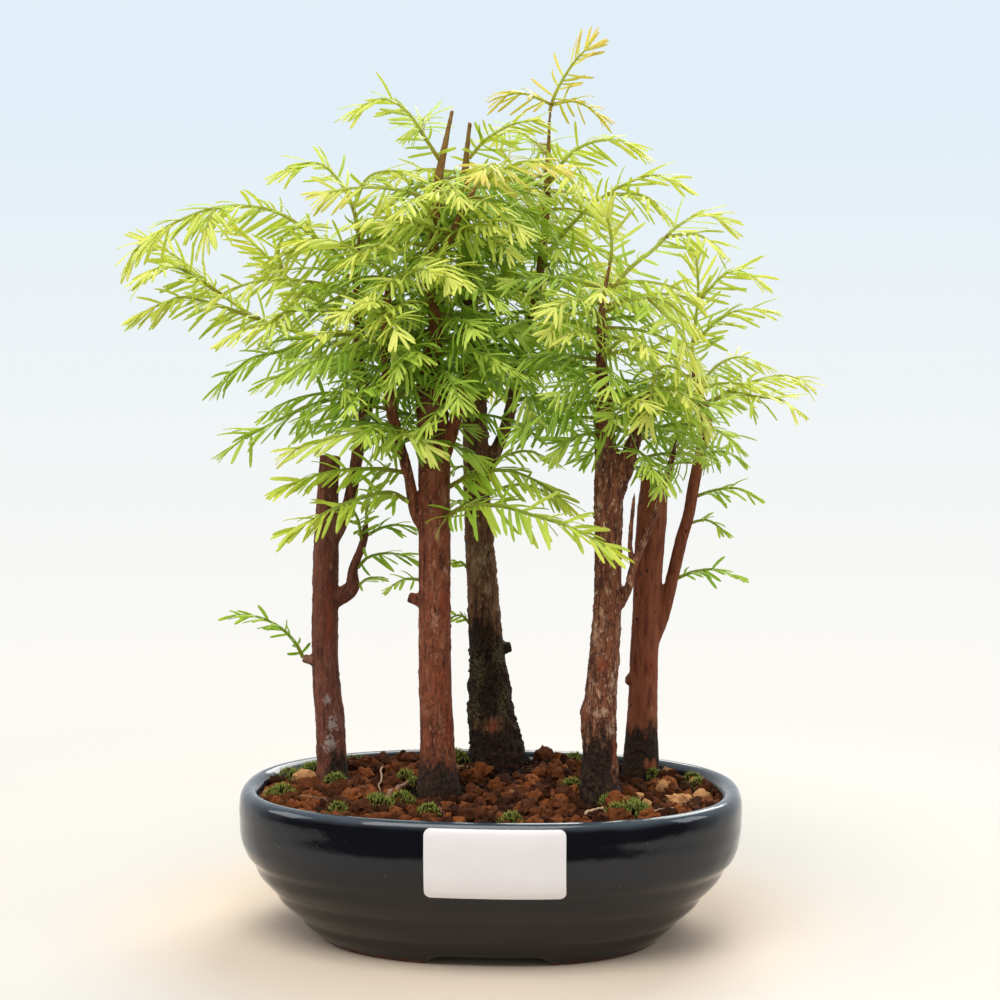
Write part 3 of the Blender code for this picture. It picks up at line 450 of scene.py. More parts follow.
def pot_rings():
    """The pot's profile from its underside, up the wall, over the rim and down inside."""
    foot = soften(POT_UNDERSIDE[1:] + POT_WALL[:1], 1.0, 2)
    wall = soften(POT_WALL + POT_RIM, 0.8, 5)
    inside = soften([POT_RIM[-1], POT_FLOOR], 6.0, 0)
    return [Vector(POT_UNDERSIDE[0])] + foot + wall[1:] + inside[1:]


print("rings in the pot:", len(pot_rings()))

# %% [markdown]
# The glaze is a deep navy black with a brown tinge low down, partly its own tone and partly a painted
# reflection of the warm table below. It breaks to blue grey where it runs thin over the rim, has fine pale
# specks, and stops a millimetre above the table, where bare red clay shows. A very low roughness gives the
# wet gloss. Slow unevenness in the bump bends the mirrored light as real glaze does.

# %% Glaze and the pot itself
def glaze_finish():
    finish = Finish("navy_black_glaze", {"IOR": 1.48})
    height = finish.height()
    pool = finish.cloud(14.0, 4.0)
    thin = (height + (pool - 0.5) * 3.0).between(51.5, 55.4)
    colour = finish.blend(paint(9, 10, 17), paint(20, 19, 24), pool)
    # Brown low down: partly the glaze's own tone, partly a painted reflection of the warm table below.
    low = 1.0 - (height + (pool - 0.5) * 12.0).between(12.0, 34.0)
    colour = finish.blend(colour, paint(20, 13, 9), low * 0.8)
    colour = finish.blend(colour, paint(62, 78, 92), thin * 0.62)
    specks = 1.0 - finish.cells(2.6).between(0.035, 0.075)
    few = finish.cloud(3.0, 1.0).between(0.56, 0.62)
    colour = finish.blend(colour, paint(150, 148, 140), specks * few * 0.8)
    bare = 1.0 - (height + (finish.cloud(5.0) - 0.5) * 3.4).between(0.3, 1.2)
    clay = finish.blend(paint(74, 40, 26), paint(112, 64, 42), finish.cloud(1.4))
    finish.feed("Base Color", finish.blend(colour, clay, bare))
    finish.feed("Roughness", bare * 0.75 + finish.cloud(8.0) * 0.1 + 0.05)
    finish.bump(finish.cloud(22.0, 2.0) + finish.cloud(2.2, 2.0) * 0.06, 0.5, 1.2)
    return finish.material


def make_pot():
    """Loft the rings, lift the gaps between the feet and drill the two drain holes."""
    points, faces = loft([oval(*ring, POT_SIDES) for ring in pot_rings()])
    for point in points:
        point.z = max(point.z, min(foot_gap(point.x, point.y), point.z + FOOT_GAP_HEIGHT))
        sway = noise.noise(point * 0.02) * WALL_SWAY
        sway += noise.noise(Vector((point.x * 0.012, point.y * 0.012, point.z * 0.15))) * RIDGE_SWAY
        outward = Vector((point.x, point.y, 0.0)).normalized()
        point += outward * sway
    pot = make_piece("glazed_pot", points, faces, glaze_finish())
    for side in (-1.0, 1.0):
        work = bmesh.new()
        bmesh.ops.create_cone(work, cap_ends=True, segments=40, radius1=DRAIN_HOLE_RADIUS,
                              radius2=DRAIN_HOLE_RADIUS, depth=DRILL_DEPTH)
        bmesh.ops.translate(work, vec=(side * DRAIN_HOLE_X, 0.0, DRILL_MIDDLE), verts=work.verts)
        mesh = bpy.data.meshes.new("drill")
        work.to_mesh(mesh)
        work.free()
        mesh.transform(TO_FRAME)
        drill = bpy.data.objects.new("drill", mesh)
        scene.collection.objects.link(drill)
        cut = pot.modifiers.new("drain_hole", "BOOLEAN")
        cut.operation = "DIFFERENCE"
        cut.object = drill
        shape = pot.evaluated_get(bpy.context.evaluated_depsgraph_get())
        drilled = bpy.data.meshes.new_from_object(shape)
        pot.modifiers.clear()
        pot.data = drilled
        bpy.data.objects.remove(drill)
    pot.data.set_sharp_from_angle(angle=math.radians(50.0))
    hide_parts("pot")
    return pot


pot = make_pot()
print("pot faces:", len(pot.data.polygons))

# %% [markdown]
# A small white paper sticker follows the pot's front. It is left blank. A fine grid is bent onto
# the wall, and its rows shorten at the corners so that they come out round.

# %% The sticker
LABEL_WIDTH = 50.0
LABEL_HEIGHT = 25.0
LABEL_CORNER = 2.4
LABEL_MIDDLE_X = 7.7
LABEL_TOP = 53.2
LABEL_THICKNESS = 0.35
LABEL_OFF_WALL = 0.5
LABEL_COLUMNS = 40


def wall_front(x, height):
    """How far forward the pot's front face stands at one place."""
    for low, high in zip(FINE_WALL, FINE_WALL[1:]):
        if low.z <= height <= high.z:
            ring = low.lerp(high, (height - low.z) / max(high.z - low.z, 1e-6))
            break
    share = min(abs(x) / ring.x, 1.0)
    return -ring.y * (1.0 - share ** OVAL_POWER) ** (1.0 / OVAL_POWER)


def corner_inset(height):
    """How much a row of the sticker is shorter because of its round corners."""
    edge = min(height, LABEL_HEIGHT - height)
    if edge >= LABEL_CORNER:
        return 0.0
    return LABEL_CORNER - math.sqrt(max(LABEL_CORNER ** 2 - (LABEL_CORNER - edge) ** 2, 0.0))


def make_label():
    """Bend the grid onto the wall, back and front, and close its edge."""
    curve = [LABEL_CORNER * (1.0 - math.cos(math.pi * step / 12.0)) for step in range(7)]
    inner = [LABEL_CORNER + (LABEL_HEIGHT - 2.0 * LABEL_CORNER) * step / 16.0 for step in range(1, 16)]
    heights = curve + inner + [LABEL_HEIGHT - at for at in reversed(curve)]
    rows = []
    for height in heights:
        half = LABEL_WIDTH / 2.0 - corner_inset(height)
        z = LABEL_TOP - LABEL_HEIGHT + height
        row = []
        for column in range(LABEL_COLUMNS + 1):
            x = LABEL_MIDDLE_X + half * (2.0 * column / LABEL_COLUMNS - 1.0)
            row.append(Vector((x, wall_front(x, z), z)))
        rows.append(row)
    wide = LABEL_COLUMNS + 1
    forward = Vector((0.0, LABEL_OFF_WALL + LABEL_THICKNESS / 2.0, 0.0))
    points = [spot - forward for row in rows for spot in row]
    points += [spot + Vector((0.0, LABEL_THICKNESS, 0.0)) for spot in points]
    back = len(points) // 2
    faces = []
    for row in range(len(rows) - 1):
        for column in range(wide - 1):
            at = row * wide + column
            faces.append((at, at + 1, at + wide + 1, at + wide))
            faces.append((back + at, back + at + wide, back + at + wide + 1, back + at + 1))
    rim = list(range(wide)) + [row * wide + wide - 1 for row in range(1, len(rows))]
    rim += [back - 1 - step for step in range(1, wide)]
    rim += [row * wide for row in range(len(rows) - 2, 0, -1)]
    for here, after in zip(rim, rim[1:] + rim[:1]):
        faces.append((here, here + back, after + back, after))
    label = make_piece("blank_sticker", points, faces, paper_finish())
    label.data.set_sharp_from_angle(angle=math.radians(40.0))
    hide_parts("label")


def paper_finish():
    finish = Finish("sticker_paper", {"Roughness": 0.42, "Coat Weight": 0.15})
    finish.feed("Base Color", finish.blend(paint(236, 231, 233), paint(243, 239, 240),
                                           finish.cloud(9.0)))
    finish.bump(finish.cloud(0.5, 2.0), 0.12, 0.05)
    return finish.material


FINE_WALL = soften(POT_WALL + POT_RIM[:2], 0.8, 5)
make_label()
print("sticker top at", LABEL_TOP, "mm")

# %% [markdown]
# Trunks and woody branches. Each tree grew as one piece, so its limbs should melt into its trunk.
# Tubes alone would meet in hard lines. Here the tubes are swept first and then remeshed together,
# which fuses them, and the bark's ridges, flakes and scars are pushed out of that one skin.

# %% Routes of the trunks and branches
TREES = {
    "left": {
        "trunk": [
            (-60.3, 57, 24, 12.6), (-60.4, 64, 24, 11.4), (-61.0, 80, 24, 11.0),
            (-62.6, 100, 24, 10.1), (-62.4, 128, 24, 9.8), (-61.8, 150, 24, 9.3),
            (-61.2, 166, 24, 8.1), (-60.2, 180, 24, 7.7),
        ],
        "stub": [(-62, 101, 24, 5.0), (-67.5, 102, 23, 3.6), (-71, 103.2, 23, 3.2)],
        "low": [
            (-60, 125, 24, 5.0), (-52.6, 129.6, 23, 6.0), (-51.8, 137, 21, 3.6),
            (-48, 147, 19, 3.0), (-46.6, 156, 18, 2.4),
        ],
        "high": [
            (-61, 146, 24, 5.0), (-55, 157, 23, 5.0), (-52, 168, 23, 4.6), (-50, 180, 22, 4.6),
            (-46.6, 200, 20, 5.2), (-49, 211, 19, 4.6), (-49, 228, 18, 3.8),
            (-50, 246, 17, 3.0), (-49, 262, 16, 2.4),
        ],
    },
    "centre": {
        "trunk": [
            (-19.8, 52, 0, 17.0), (-20.0, 60, 0, 14.6), (-20.2, 72, 0, 12.9),
            (-21.0, 100, 0, 12.3), (-21.0, 150, 0, 12.0), (-21.3, 190, 0, 12.0),
            (-22.5, 203, 0, 10.0), (-21.8, 216, 0, 7.4), (-20.2, 227, 0, 5.2),
            (-22.4, 243, 1, 3.8), (-20.6, 262, 3, 3.6), (-19.6, 280, 4, 3.4),
            (-17.3, 293, 5, 3.4), (-14.0, 308.5, 6, 3.0),
        ],
        "stub": [(-22, 123, 0, 5.0), (-28, 125.4, -1, 4.4), (-31, 126.4, -1, 4.0)],
        "left": [
            (-22, 150, 0, 5.0), (-28, 158, -2, 4.6), (-30.7, 172, -3, 4.0),
            (-34.1, 185, -4, 4.0), (-37, 197, -4, 4.4), (-39.2, 215, -4, 3.6),
            (-38.7, 234, -4, 3.6), (-38.2, 243, -4, 4.6),
        ],
        "fork": [
            (-19, 176, -1, 5.0), (-15.2, 185, -3, 4.6), (-12, 198, -5, 4.4), (-9, 212, -6, 3.2),
        ],
        "olive": [(-22, 244, 1, 3.0), (-14, 264, -5, 2.6), (-5, 280.5, -7, 2.2)],
    },
    "back": {
        "trunk": [
            (2.4, 66, 43, 21.5), (1.9, 72, 43, 19.6), (0.4, 81, 43, 17.6), (-0.2, 91, 43, 16.0),
            (-1.1, 103, 43, 13.6), (-2.4, 122, 43, 12.2), (-3.6, 140, 43, 11.3),
            (-4.8, 162, 43, 10.0), (-5.4, 182, 43, 9.7), (-6.0, 202, 42, 9.0),
            (-7.0, 222, 41, 7.6), (-8.2, 244, 38, 6.0), (-9.6, 266, 35, 4.6),
            (-9.2, 286, 32, 3.8), (-7.5, 304, 30, 3.2),
        ],
        "leader": [
            (-4, 168, 43, 5.5), (1, 179, 43, 5.0), (6, 191, 43, 4.6), (9, 204, 42, 4.2),
            (13, 222, 41, 3.8), (17.6, 242, 39, 3.4), (20.4, 264, 37, 3.0),
            (21.4, 284, 36, 2.6), (22.2, 308, 34, 2.3),
        ],
        "knob": [(1, 106, 43, 5.0), (8.0, 107.4, 43, 4.0)],
    },
    "front": {
        "trunk": [
            (41.9, 49, -13, 17.0), (41.8, 58, -13, 14.0), (41.6, 70, -13, 13.0),
            (41.2, 81, -13, 13.6), (42.1, 90, -13, 12.0), (43.2, 104, -13, 11.4),
            (44.3, 122, -13, 10.8), (44.5, 150, -13, 10.5), (44.6, 164, -13, 11.0),
            (44.2, 176, -13, 9.6), (43.2, 188, -13, 7.6), (42.8, 202, -13, 5.4),
            (41.6, 218, -14, 4.0), (42.0, 236, -14, 3.4), (44.6, 251, -14, 2.6),
        ],
        "fork": [
            (45, 162, -13, 7.0), (50, 174, -13, 7.2), (54, 185, -12, 5.4), (58, 196, -12, 4.2),
            (61.5, 208, -13, 3.2),
        ],
        "side": [
            (45, 118, -13, 3.6), (51.6, 128, -15, 3.4), (54.2, 138, -16, 3.0),
            (58.8, 149, -16, 2.6), (62.6, 159, -16, 2.4), (68, 177, -14, 2.2), (70, 186, -12, 2.0),
        ],
        "twig": [(54, 138, -16, 2.2), (52.8, 147, -18, 1.9), (54.4, 166, -18, 1.6)],
    },
    "right": {
        "trunk": [
            (57.3, 58.4, 30, 14.6), (57.5, 70, 30, 12.8), (57.9, 84, 30, 11.3),
            (58.3, 102, 30, 10.7), (59.2, 122, 30, 10.6), (60, 140, 30, 10.9),
            (61, 158, 30, 11.2), (61.7, 168, 30, 10.2), (62, 173.5, 30, 9.6),
        ],
        "knob": [(56, 94, 30, 5.0), (51.6, 95, 29, 3.8)],
        "branch": [
            (60.5, 108, 30, 5.5), (65, 118, 30, 5.0), (67.4, 127, 30, 4.8), (69.4, 136, 30, 4.8),
            (72.3, 148.6, 30, 4.6), (74.7, 157, 30, 4.4), (76.6, 168, 30, 4.4),
            (79, 181, 30, 4.2), (81.2, 191, 29, 4.6), (78.4, 203, 28, 3.6), (76, 212, 27, 2.8),
        ],
    },
}
TREE_FOOT = 42.0
CUT_TOPS = ("left", "right")
LIMB_STEP = 1.5
LIMB_COLLAR = 1.25
LIMB_TAPER_FROM = 0.86


def limb_route(tree, limb):
    """A limb's middle line and radii, with the trunk carried down into the soil."""
    route = [(seen(x, z, depth), seen_width(width, depth) / 2.0)
             for x, z, depth, width in TREES[tree][limb]]
    if limb == "trunk":
        place, radius = route[0]
        route.insert(0, (Vector((place.x, place.y, TREE_FOOT)), radius))
    return route


def curve_through(points, share):
    """A point of the smooth curve through given points, at a share of its way."""
    spans = len(points) - 1
    span = min(int(share * spans), spans - 1)
    t = share * spans - span
    b = points[span]
    c = points[span + 1]
    a = points[span - 1] if span > 0 else b * 2.0 - c
    d = points[span + 2] if span + 2 <= spans else c * 2.0 - b
    return 0.5 * (b * 2.0 + (c - a) * t + (a * 2.0 - b * 5.0 + c * 4.0 - d) * t ** 2
                  + (b * 3.0 - a - c * 3.0 + d) * t ** 3)


def sweep(spots, radii, sides, points, faces):
    """Add a closed round tube along spots to lists of points and faces."""
    first = len(points)
    side = Vector((1.0, 0.0, 0.0))
    for number, (spot, radius) in enumerate(zip(spots, radii)):
        before = spots[max(number - 1, 0)]
        after = spots[min(number + 1, len(spots) - 1)]
        along = (after - before).normalized()
        side = (side - along * side.dot(along)).normalized()
        other = along.cross(side)
        for step in range(sides):
            angle = 2.0 * math.pi * step / sides
            points.append(spot + (side * math.cos(angle) + other * math.sin(angle)) * radius)
    faces.append(tuple(first + step for step in reversed(range(sides))))
    for row in range(len(spots) - 1):
        low = first + row * sides
        for step in range(sides):
            after = (step + 1) % sides
            faces.append((low + step, low + after, low + sides + after, low + sides + step))
    last = first + (len(spots) - 1) * sides
    faces.append(tuple(last + step for step in range(sides)))


def fine_route(tree, limb):
    """A limb's route in small steps, with its radius at each."""
    route = limb_route(tree, limb)
    line = [Vector((*place, radius)) for place, radius in route]
    if limb != "trunk":
        line[0].w = line[1].w * LIMB_COLLAR
    length = sum((b[0] - a[0]).length for a, b in zip(route, route[1:]))
    count = max(6, int(length / LIMB_STEP))
    fine = [curve_through(line, number / count) for number in range(count + 1)]
    radii = [max(spot.w, 0.5) for spot in fine]
    if limb not in ("stub", "knob") and not (limb == "trunk" and tree in CUT_TOPS):
        radii = [radius * (1.0 - 0.5 * soft_step(number / count, LIMB_TAPER_FROM, 1.0))
                 for number, radius in enumerate(radii)]
    return [spot.to_3d() for spot in fine], radii


print("limbs:", sum(len(limbs) for limbs in TREES.values()))

# %% [markdown]
# Bark differs from tree to tree: smooth red brown on the left, flaking on the front tree, dark and mossy at
# the foot of the back tree. One finish function takes a tree's main, dark and pale colours and how flecked
# and pitted it is, and thin cracks part the bark into plates. Pits and cracks are painted dark as painted
# shade in them. Numbers on the mesh say where it is damp, pale, chalky, red, mossy, young or freshly cut.

# %% The bark's finish
BARK_VOXEL = 0.62


def bark_finish(name, main, dark, pale, flecks, pits):
    """Streaks, patches, flecks, scars, painted shade in pits and cracks, then damp, moss and cut wood over
    them.
    """
    finish = Finish(name, {"Roughness": 0.85, "Specular IOR Level": 0.3})
    streak = finish.cloud(1.5, 4.0, 0.6, (1.0, 1.0, 0.14))
    patch = finish.cloud(7.0, 3.0, 0.6, (1.0, 1.0, 0.45))
    colour = finish.blend(dark, main, streak.between(0.3, 0.56))
    colour = finish.blend(colour, finish.blend(main, pale, 0.35), patch.between(0.5, 0.72) * 0.8)
    fleck = finish.cloud(0.9, 3.0, 0.6, (1.0, 1.0, 0.3)).between(0.57, 0.69)
    colour = finish.blend(colour, pale, fleck * flecks)
    grain = finish.cloud(0.8, 2.0)
    scar = finish.value("pale") * 0.9 + (finish.cloud(1.9, 4.0, 0.7, (1.0, 1.0, 0.5)) - 0.5) * 2.4
    colour = finish.blend(colour, pale, scar.between(0.5, 0.95) * 0.6)
    chalk = finish.value("chalk") * 0.9 + (finish.cloud(1.3, 4.0, 0.7) - 0.5) * 2.4
    colour = finish.blend(colour, paint(178, 168, 160), chalk.between(0.5, 0.9) * 0.65)
    # Pits are painted near black as painted shade; they have no relief of their own.
    pit_shade = 1.0 - finish.cells(4.2, (1.0, 1.0, 0.7)).between(0.08, 0.16)
    colour = finish.blend(colour, paint(24, 15, 11), pit_shade * pits)
    plate = finish.cloud(3.6, 4.0, 0.6, (1.0, 1.0, 0.45))
    # Cracks between the plates are painted in the dark colour as painted shade in them.
    crack_shade = 1.0 - ((plate - 0.5) * (plate - 0.5)).between(0.0, 0.0012)
    colour = finish.blend(colour, dark, crack_shade * (flecks * 0.7))
    young = finish.blend(paint(118, 72, 38), paint(140, 120, 52), finish.cloud(3.0))
    colour = finish.blend(colour, young, finish.value("young") * 0.8)
    red = finish.value("red") * 0.9 + (finish.cloud(2.6, 4.0, 0.7, (1.0, 1.0, 0.4)) - 0.5) * 1.8
    colour = finish.blend(colour, paint(134, 56, 30), red.between(0.5, 1.0) * 0.6)
    drip = finish.cloud(2.6, 4.0, 0.65, (1.0, 1.0, 0.3))
    damp = finish.value("damp") * 1.3 + (drip - 0.5) * 2.2
    dirt = finish.blend(paint(20, 14, 10), paint(70, 47, 31), finish.cloud(1.4, 4.0, 0.7).between(0.35, 0.7))
    colour = finish.blend(colour, dirt, damp.between(0.4, 0.85))
    green = finish.value("moss") + (finish.cloud(0.8, 4.0, 0.8) - 0.5) * 3.2
    colour = finish.blend(colour, finish.blend(paint(52, 54, 26), paint(128, 120, 76), grain),
                          green.between(0.85, 1.15) * 0.85)
    wood = finish.blend(paint(120, 66, 40), paint(158, 104, 70), finish.cloud(1.0))
    finish.feed("Base Color", finish.blend(colour, wood, finish.value("cut")))
    finish.bump(streak + grain * 0.5 + plate.between(0.48, 0.53) * flecks, 0.7, 0.5)
    return finish.material


BARK = {
    "left": ((118, 68, 50), (62, 34, 25), (170, 126, 106), 0.35, 0.25),
    "centre": ((134, 72, 46), (66, 34, 24), (190, 140, 112), 0.6, 0.2),
    "back": ((120, 82, 54), (52, 34, 24), (172, 146, 118), 0.7, 0.0),
    "front": ((130, 77, 52), (64, 36, 27), (196, 160, 128), 1.0, 0.15),
    "right": ((136, 76, 50), (94, 46, 29), (164, 104, 72), 0.15, 0.9),
}
print("barks:", ", ".join(BARK))

# %% [markdown]
# What happened to each trunk is told by a few marks: where moss, limewash or red fibres show,
# where a scar healed, where a patch of the damp foot dried. A mark says what it changes, at which
# place in the front view, how wide and how tall. Each trunk is damp below a height of its own.

# %% Marks on the bark
MARKS = {
    "left": [("chalk", -61, 70, 4.0, 5.0), ("chalk", -60, 78, 3.0, 5.0), ("chalk", -62, 87, 2.2, 3.0),
             ("pale", -70, 103, 3.0, 3.0), ("red", -61, 120, 3.0, 22.0), ("pale", -60, 138, 1.2, 2.0),
             ("dry", -66, 60, 4.0, 12.0)],
    "centre": [("red", -17, 122, 4.0, 14.0), ("red", -20, 96, 5.0, 8.0), ("pale", -20, 150, 2.0, 5.0),
               ("pale", -17, 136, 1.6, 4.0), ("red", -28, 172, 2.4, 4.0), ("pale", -21, 118, 2.6, 5.0),
               ("red", -16, 78, 4.0, 12.0), ("dry", -13, 68, 3.6, 6.0)],
    "back": [("pale", -3, 141, 7.0, 8.0), ("pale", -1, 129, 3.0, 3.0), ("red", 1, 77, 5.0, 4.0),
             ("pale", 5, 84, 2.0, 2.0), ("moss", -5, 98, 6.0, 14.0), ("moss", 5, 86, 5.0, 12.0),
             ("moss", -6, 84, 5.0, 12.0), ("moss", 3, 104, 4.0, 10.0), ("dry", 0, 77, 7.0, 4.5)],
    "front": [("pale", 40, 112, 2.6, 5.0), ("pale", 42, 82, 4.5, 3.0), ("pale", 46, 76, 2.5, 5.0),
              ("pale", 47, 92, 2.5, 8.0), ("pale", 39, 93, 2.2, 3.0), ("pale", 42, 120, 1.6, 5.0),
              ("pale", 39, 127, 2.4, 2.2), ("pale", 44, 129, 1.8, 2.2), ("red", 43, 100, 4.0, 6.0),
              ("red", 47, 66, 2.6, 12.0), ("pale", 41, 160, 1.6, 8.0), ("dry", 48, 66, 2.6, 15.0)],
    "right": [("moss", 63, 79, 3.0, 4.0), ("pale", 61, 82, 2.6, 4.0), ("red", 60, 61, 3.0, 3.0),
              ("red", 55, 140, 3.0, 16.0), ("red", 61, 100, 3.0, 6.0), ("dry", 60.5, 62, 3.0, 3.0)],
}
DAMP_BELOW = {"left": 66.0, "centre": 64.0, "back": 117.0, "front": 73.0, "right": 76.0}
DAMP_FADE = {"left": 11.0, "centre": 11.0, "back": 18.0, "front": 15.0, "right": 9.0}
RELIEF = {"left": 0.3, "centre": 0.45, "back": 0.55, "front": 0.7, "right": 0.22}
VALUES = ("damp", "pale", "chalk", "red", "moss", "dry", "young", "cut")


def mark_share(x, z, mark):
    """How strongly a mark acts where a point shows in the front view."""
    _, mark_x, mark_z, wide, tall = mark
    return math.exp(-((x - mark_x) / wide) ** 2 - ((z - mark_z) / tall) ** 2)


def bark_relief(tree, spot, x, z, thick):
    """How far the bark stands out at a point: fibres, flakes and small scars."""
    fibre = noise.noise(Vector((spot.x * 0.9, spot.y * 0.9, spot.z * 0.11)))
    flake = noise.turbulence(Vector((spot.x * 0.45, spot.y * 0.45, spot.z * 0.17 + 9.0)), 3, True)
    grit = noise.noise(spot * 1.9)
    rough = RELIEF[tree]
    if tree == "back":
        rough *= 1.0 + 0.9 * (1.0 - soft_step(z, 96.0, 124.0))
    if tree == "front":
        rough *= 1.3 - 0.6 * soft_step(z, 60.0, 76.0) + 0.3 * soft_step(z, 110.0, 130.0)
    if tree == "centre":
        rough *= 0.6 + 0.9 * soft_step(z, 150.0, 180.0)
    peel = noise.noise(Vector((spot.x * 0.5, spot.y * 0.5, spot.z * 0.3 + 40.0)))
    swell = fibre * 0.9 + (flake - 0.75) * 0.9 + grit * 0.45 + 0.6 * soft_step(peel, 0.34, 0.46)
    return swell * rough * min(thick / 5.0, 1.0)


def make_tree(tree):
    """Sweep the limbs, fuse them, push the bark out and note what the finish needs."""
    points = []
    faces = []
    near = []
    for limb in TREES[tree]:
        spots, radii = fine_route(tree, limb)
        sweep(spots, radii, 20 if limb == "trunk" else 12, points, faces)
        woody = 0.0 if limb == "trunk" else 0.25
        near += [(spot, radius, limb, woody) for spot, radius in zip(spots, radii)]
    mesh = bpy.data.meshes.new(tree)
    mesh.from_pydata(points, [], faces)
    raw = bpy.data.objects.new(tree, mesh)
    scene.collection.objects.link(raw)
    fuse = raw.modifiers.new("fuse", "REMESH")
    fuse.mode = "VOXEL"
    fuse.voxel_size = BARK_VOXEL
    calm = raw.modifiers.new("calm", "SMOOTH")
    calm.iterations = 3
    shape = raw.evaluated_get(bpy.context.evaluated_depsgraph_get())
    fused = bpy.data.meshes.new_from_object(shape)
    bpy.data.objects.remove(raw)
    guide = KDTree(len(near))
    for number, (spot, *_) in enumerate(near):
        guide.insert(spot, number)
    guide.balance()
    values = {key: [] for key in VALUES}
    top = TREES[tree]["trunk"][-1]
    crown = seen(*top[:3])
    cut_top = tree in CUT_TOPS
    damp_low = DAMP_BELOW[tree] - DAMP_FADE[tree]
    damp_high = DAMP_BELOW[tree] + DAMP_FADE[tree]
    spots = []
    for vert in fused.vertices:
        _, number, _ = guide.find(vert.co)
        middle, thick, limb, woody = near[number]
        out = (vert.co - middle).normalized()
        x, z = shown(vert.co)
        swell = bark_relief(tree, vert.co, x, z, thick) + 0.12
        found = dict.fromkeys(VALUES, 0.0)
        for mark in MARKS[tree]:
            found[mark[0]] = max(found[mark[0]], mark_share(x, z, mark))
        swell += 0.35 * found["pale"] * noise.noise(vert.co * 0.8) + 0.2 * found["moss"]
        found["damp"] = 1.0 - soft_step(z, damp_low, damp_high)
        found["damp"] *= 1.0 - 0.8 * found["dry"]
        found["young"] = soft_step(z, 215.0, 262.0) * (1.0 - soft_step(thick, 1.6, 3.2))
        if cut_top and limb == "trunk" and vert.co.z > crown.z - 1.2 and abs(vert.normal.z) > 0.7:
            found["cut"] = 1.0
            swell *= 0.3
        spots.append(vert.co + out * swell)
        for key in VALUES:
            values[key].append(found[key])
    skin = [tuple(face.vertices) for face in fused.polygons]
    main, dark, pale, flecks, pits = BARK[tree]
    look = bark_finish(tree + "_bark", paint(*main), paint(*dark), paint(*pale), flecks, pits)
    item = make_piece(tree + "_tree_wood", spots, skin, look, values)
    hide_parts(tree + "_tree")
    return item


for tree in TREES:
    wood = make_tree(tree)
    print(wood.name, "faces:", len(wood.data.polygons))

# %% [markdown]
# Soil is baked clay in loose crumbs of 2 to 8 mm, damp and dark near the trunks. One lumpy sheet would look
# like carpet, so a dark bed lies below and every crumb on it is its own small rock. The bed is painted darker
# than the crumbs as painted shade in the gaps between them, and damp darkens it further.
# Crumbs are dropped one by one on free spots, largest first, which is how they settle in a pot.
# The wettest soil takes only the finest crumbs, and the places of the moss are kept free for it.

# %% The bed of the soil
SOIL_EDGE = 50.4
SOIL_MIDDLE = 52.0
SOIL_MOUND = 4.6
MOUND_REACH_X = 42.0
MOUND_REACH_Y = 26.0
SOIL_CLEARANCE = 0.5
BED_PITCH = 1.9
BED_SINK = 1.6
BED_LUMP = 1.3
DAMP_REACH = {"left": 4.0, "right": 6.0, "centre": 11.0, "front": 9.0, "back": 15.0}
WET_PATCHES = [(-9.6, 5.0, 12.0), (2.0, 14.0, 9.0), (40.0, -30.0, 10.0), (74.0, 16.0, 9.0),
               (-5.0, -36.0, 6.0)]
BARE_DAMP = 0.7
BARE_CRUMB = 1.0
MOSS = [(-81.6, 18.6, 5.0), (-73.0, 30.0, 5.4), (-78.6, -11.0, 4.4), (-60.9, 7.2, 3.4), (-60.7, 47.0, 5.0),
        (-34.1, 10.8, 3.0), (-30.9, -24.0, 3.8), (-39.4, -28.7, 4.6), (-18.6, -40.7, 3.4), (-14.5, 33.0, 2.6),
        (31.0, 3.3, 3.0), (46.4, -19.8, 3.2), (53.5, -26.2, 4.4), (56.8, -30.1, 4.2), (49.0, -33.0, 3.0),
        (62.2, 27.5, 2.8), (79.0, 14.1, 3.2), (77.0, 25.0, 3.0), (-68.0, 40.0, 3.8), (-29.0, 0.0, 2.6),
        (12.0, -50.0, 3.2), (-52.0, -40.0, 3.0), (30.0, 50.0, 4.0), (-20.0, 54.0, 4.2)]


def tree_foot(tree):
    """Where a trunk enters the soil, and how thick it is there."""
    x, z, depth, width = TREES[tree]["trunk"][0]
    return seen(x, z, depth), seen_width(width, depth) / 2.0


FEET = {tree: tree_foot(tree) for tree in TREES}


def out_share(x, y, margin=0.0):
    """0 in the middle of the soil and 1 at the pot's inside, less a margin."""
    return ((abs(x) / (POT_RIM[-1][0] - margin)) ** OVAL_POWER
            + (abs(y) / (POT_RIM[-1][1] - margin)) ** OVAL_POWER)


def soil_height(x, y):
    """The soil's surface without its crumbs: low at the edge, heaped by the back tree."""
    out = min(out_share(x, y), 1.0)
    heap = FEET["back"][0]
    near = math.exp(-((x - heap.x) / MOUND_REACH_X) ** 2 - ((y - heap.y) / MOUND_REACH_Y) ** 2)
    return SOIL_EDGE + (SOIL_MIDDLE - SOIL_EDGE) * (1.0 - out) + SOIL_MOUND * near * (1.0 - out ** 3)


def dampness(x, y):
    """How wet the soil is: most around the trunks, least near the rim."""
    wet = 0.0
    for tree, (foot, radius) in FEET.items():
        away = math.hypot(x - foot.x, y - foot.y) - radius
        wet = max(wet, math.exp(-(max(away, 0.0) / DAMP_REACH[tree]) ** 2))
    for patch_x, patch_y, reach in WET_PATCHES:
        wet = max(wet, 0.9 * math.exp(-(math.hypot(x - patch_x, y - patch_y) / reach) ** 4))
    return min(1.0, wet + 0.35 * max(noise.noise(Vector((x * 0.05, y * 0.05, 4.0))), 0.0))


def inner_oval(height, sides):
    """The soil's side, which follows the pot's inside and stays clear of it."""
    share = (height - POT_FLOOR[2]) / (POT_RIM[-1][2] - POT_FLOOR[2])
    half_length = POT_FLOOR[0] + share * (POT_RIM[-1][0] - POT_FLOOR[0]) - SOIL_CLEARANCE
    half_width = POT_FLOOR[1] + share * (POT_RIM[-1][1] - POT_FLOOR[1]) - SOIL_CLEARANCE
    return oval(half_length, half_width, height, sides)


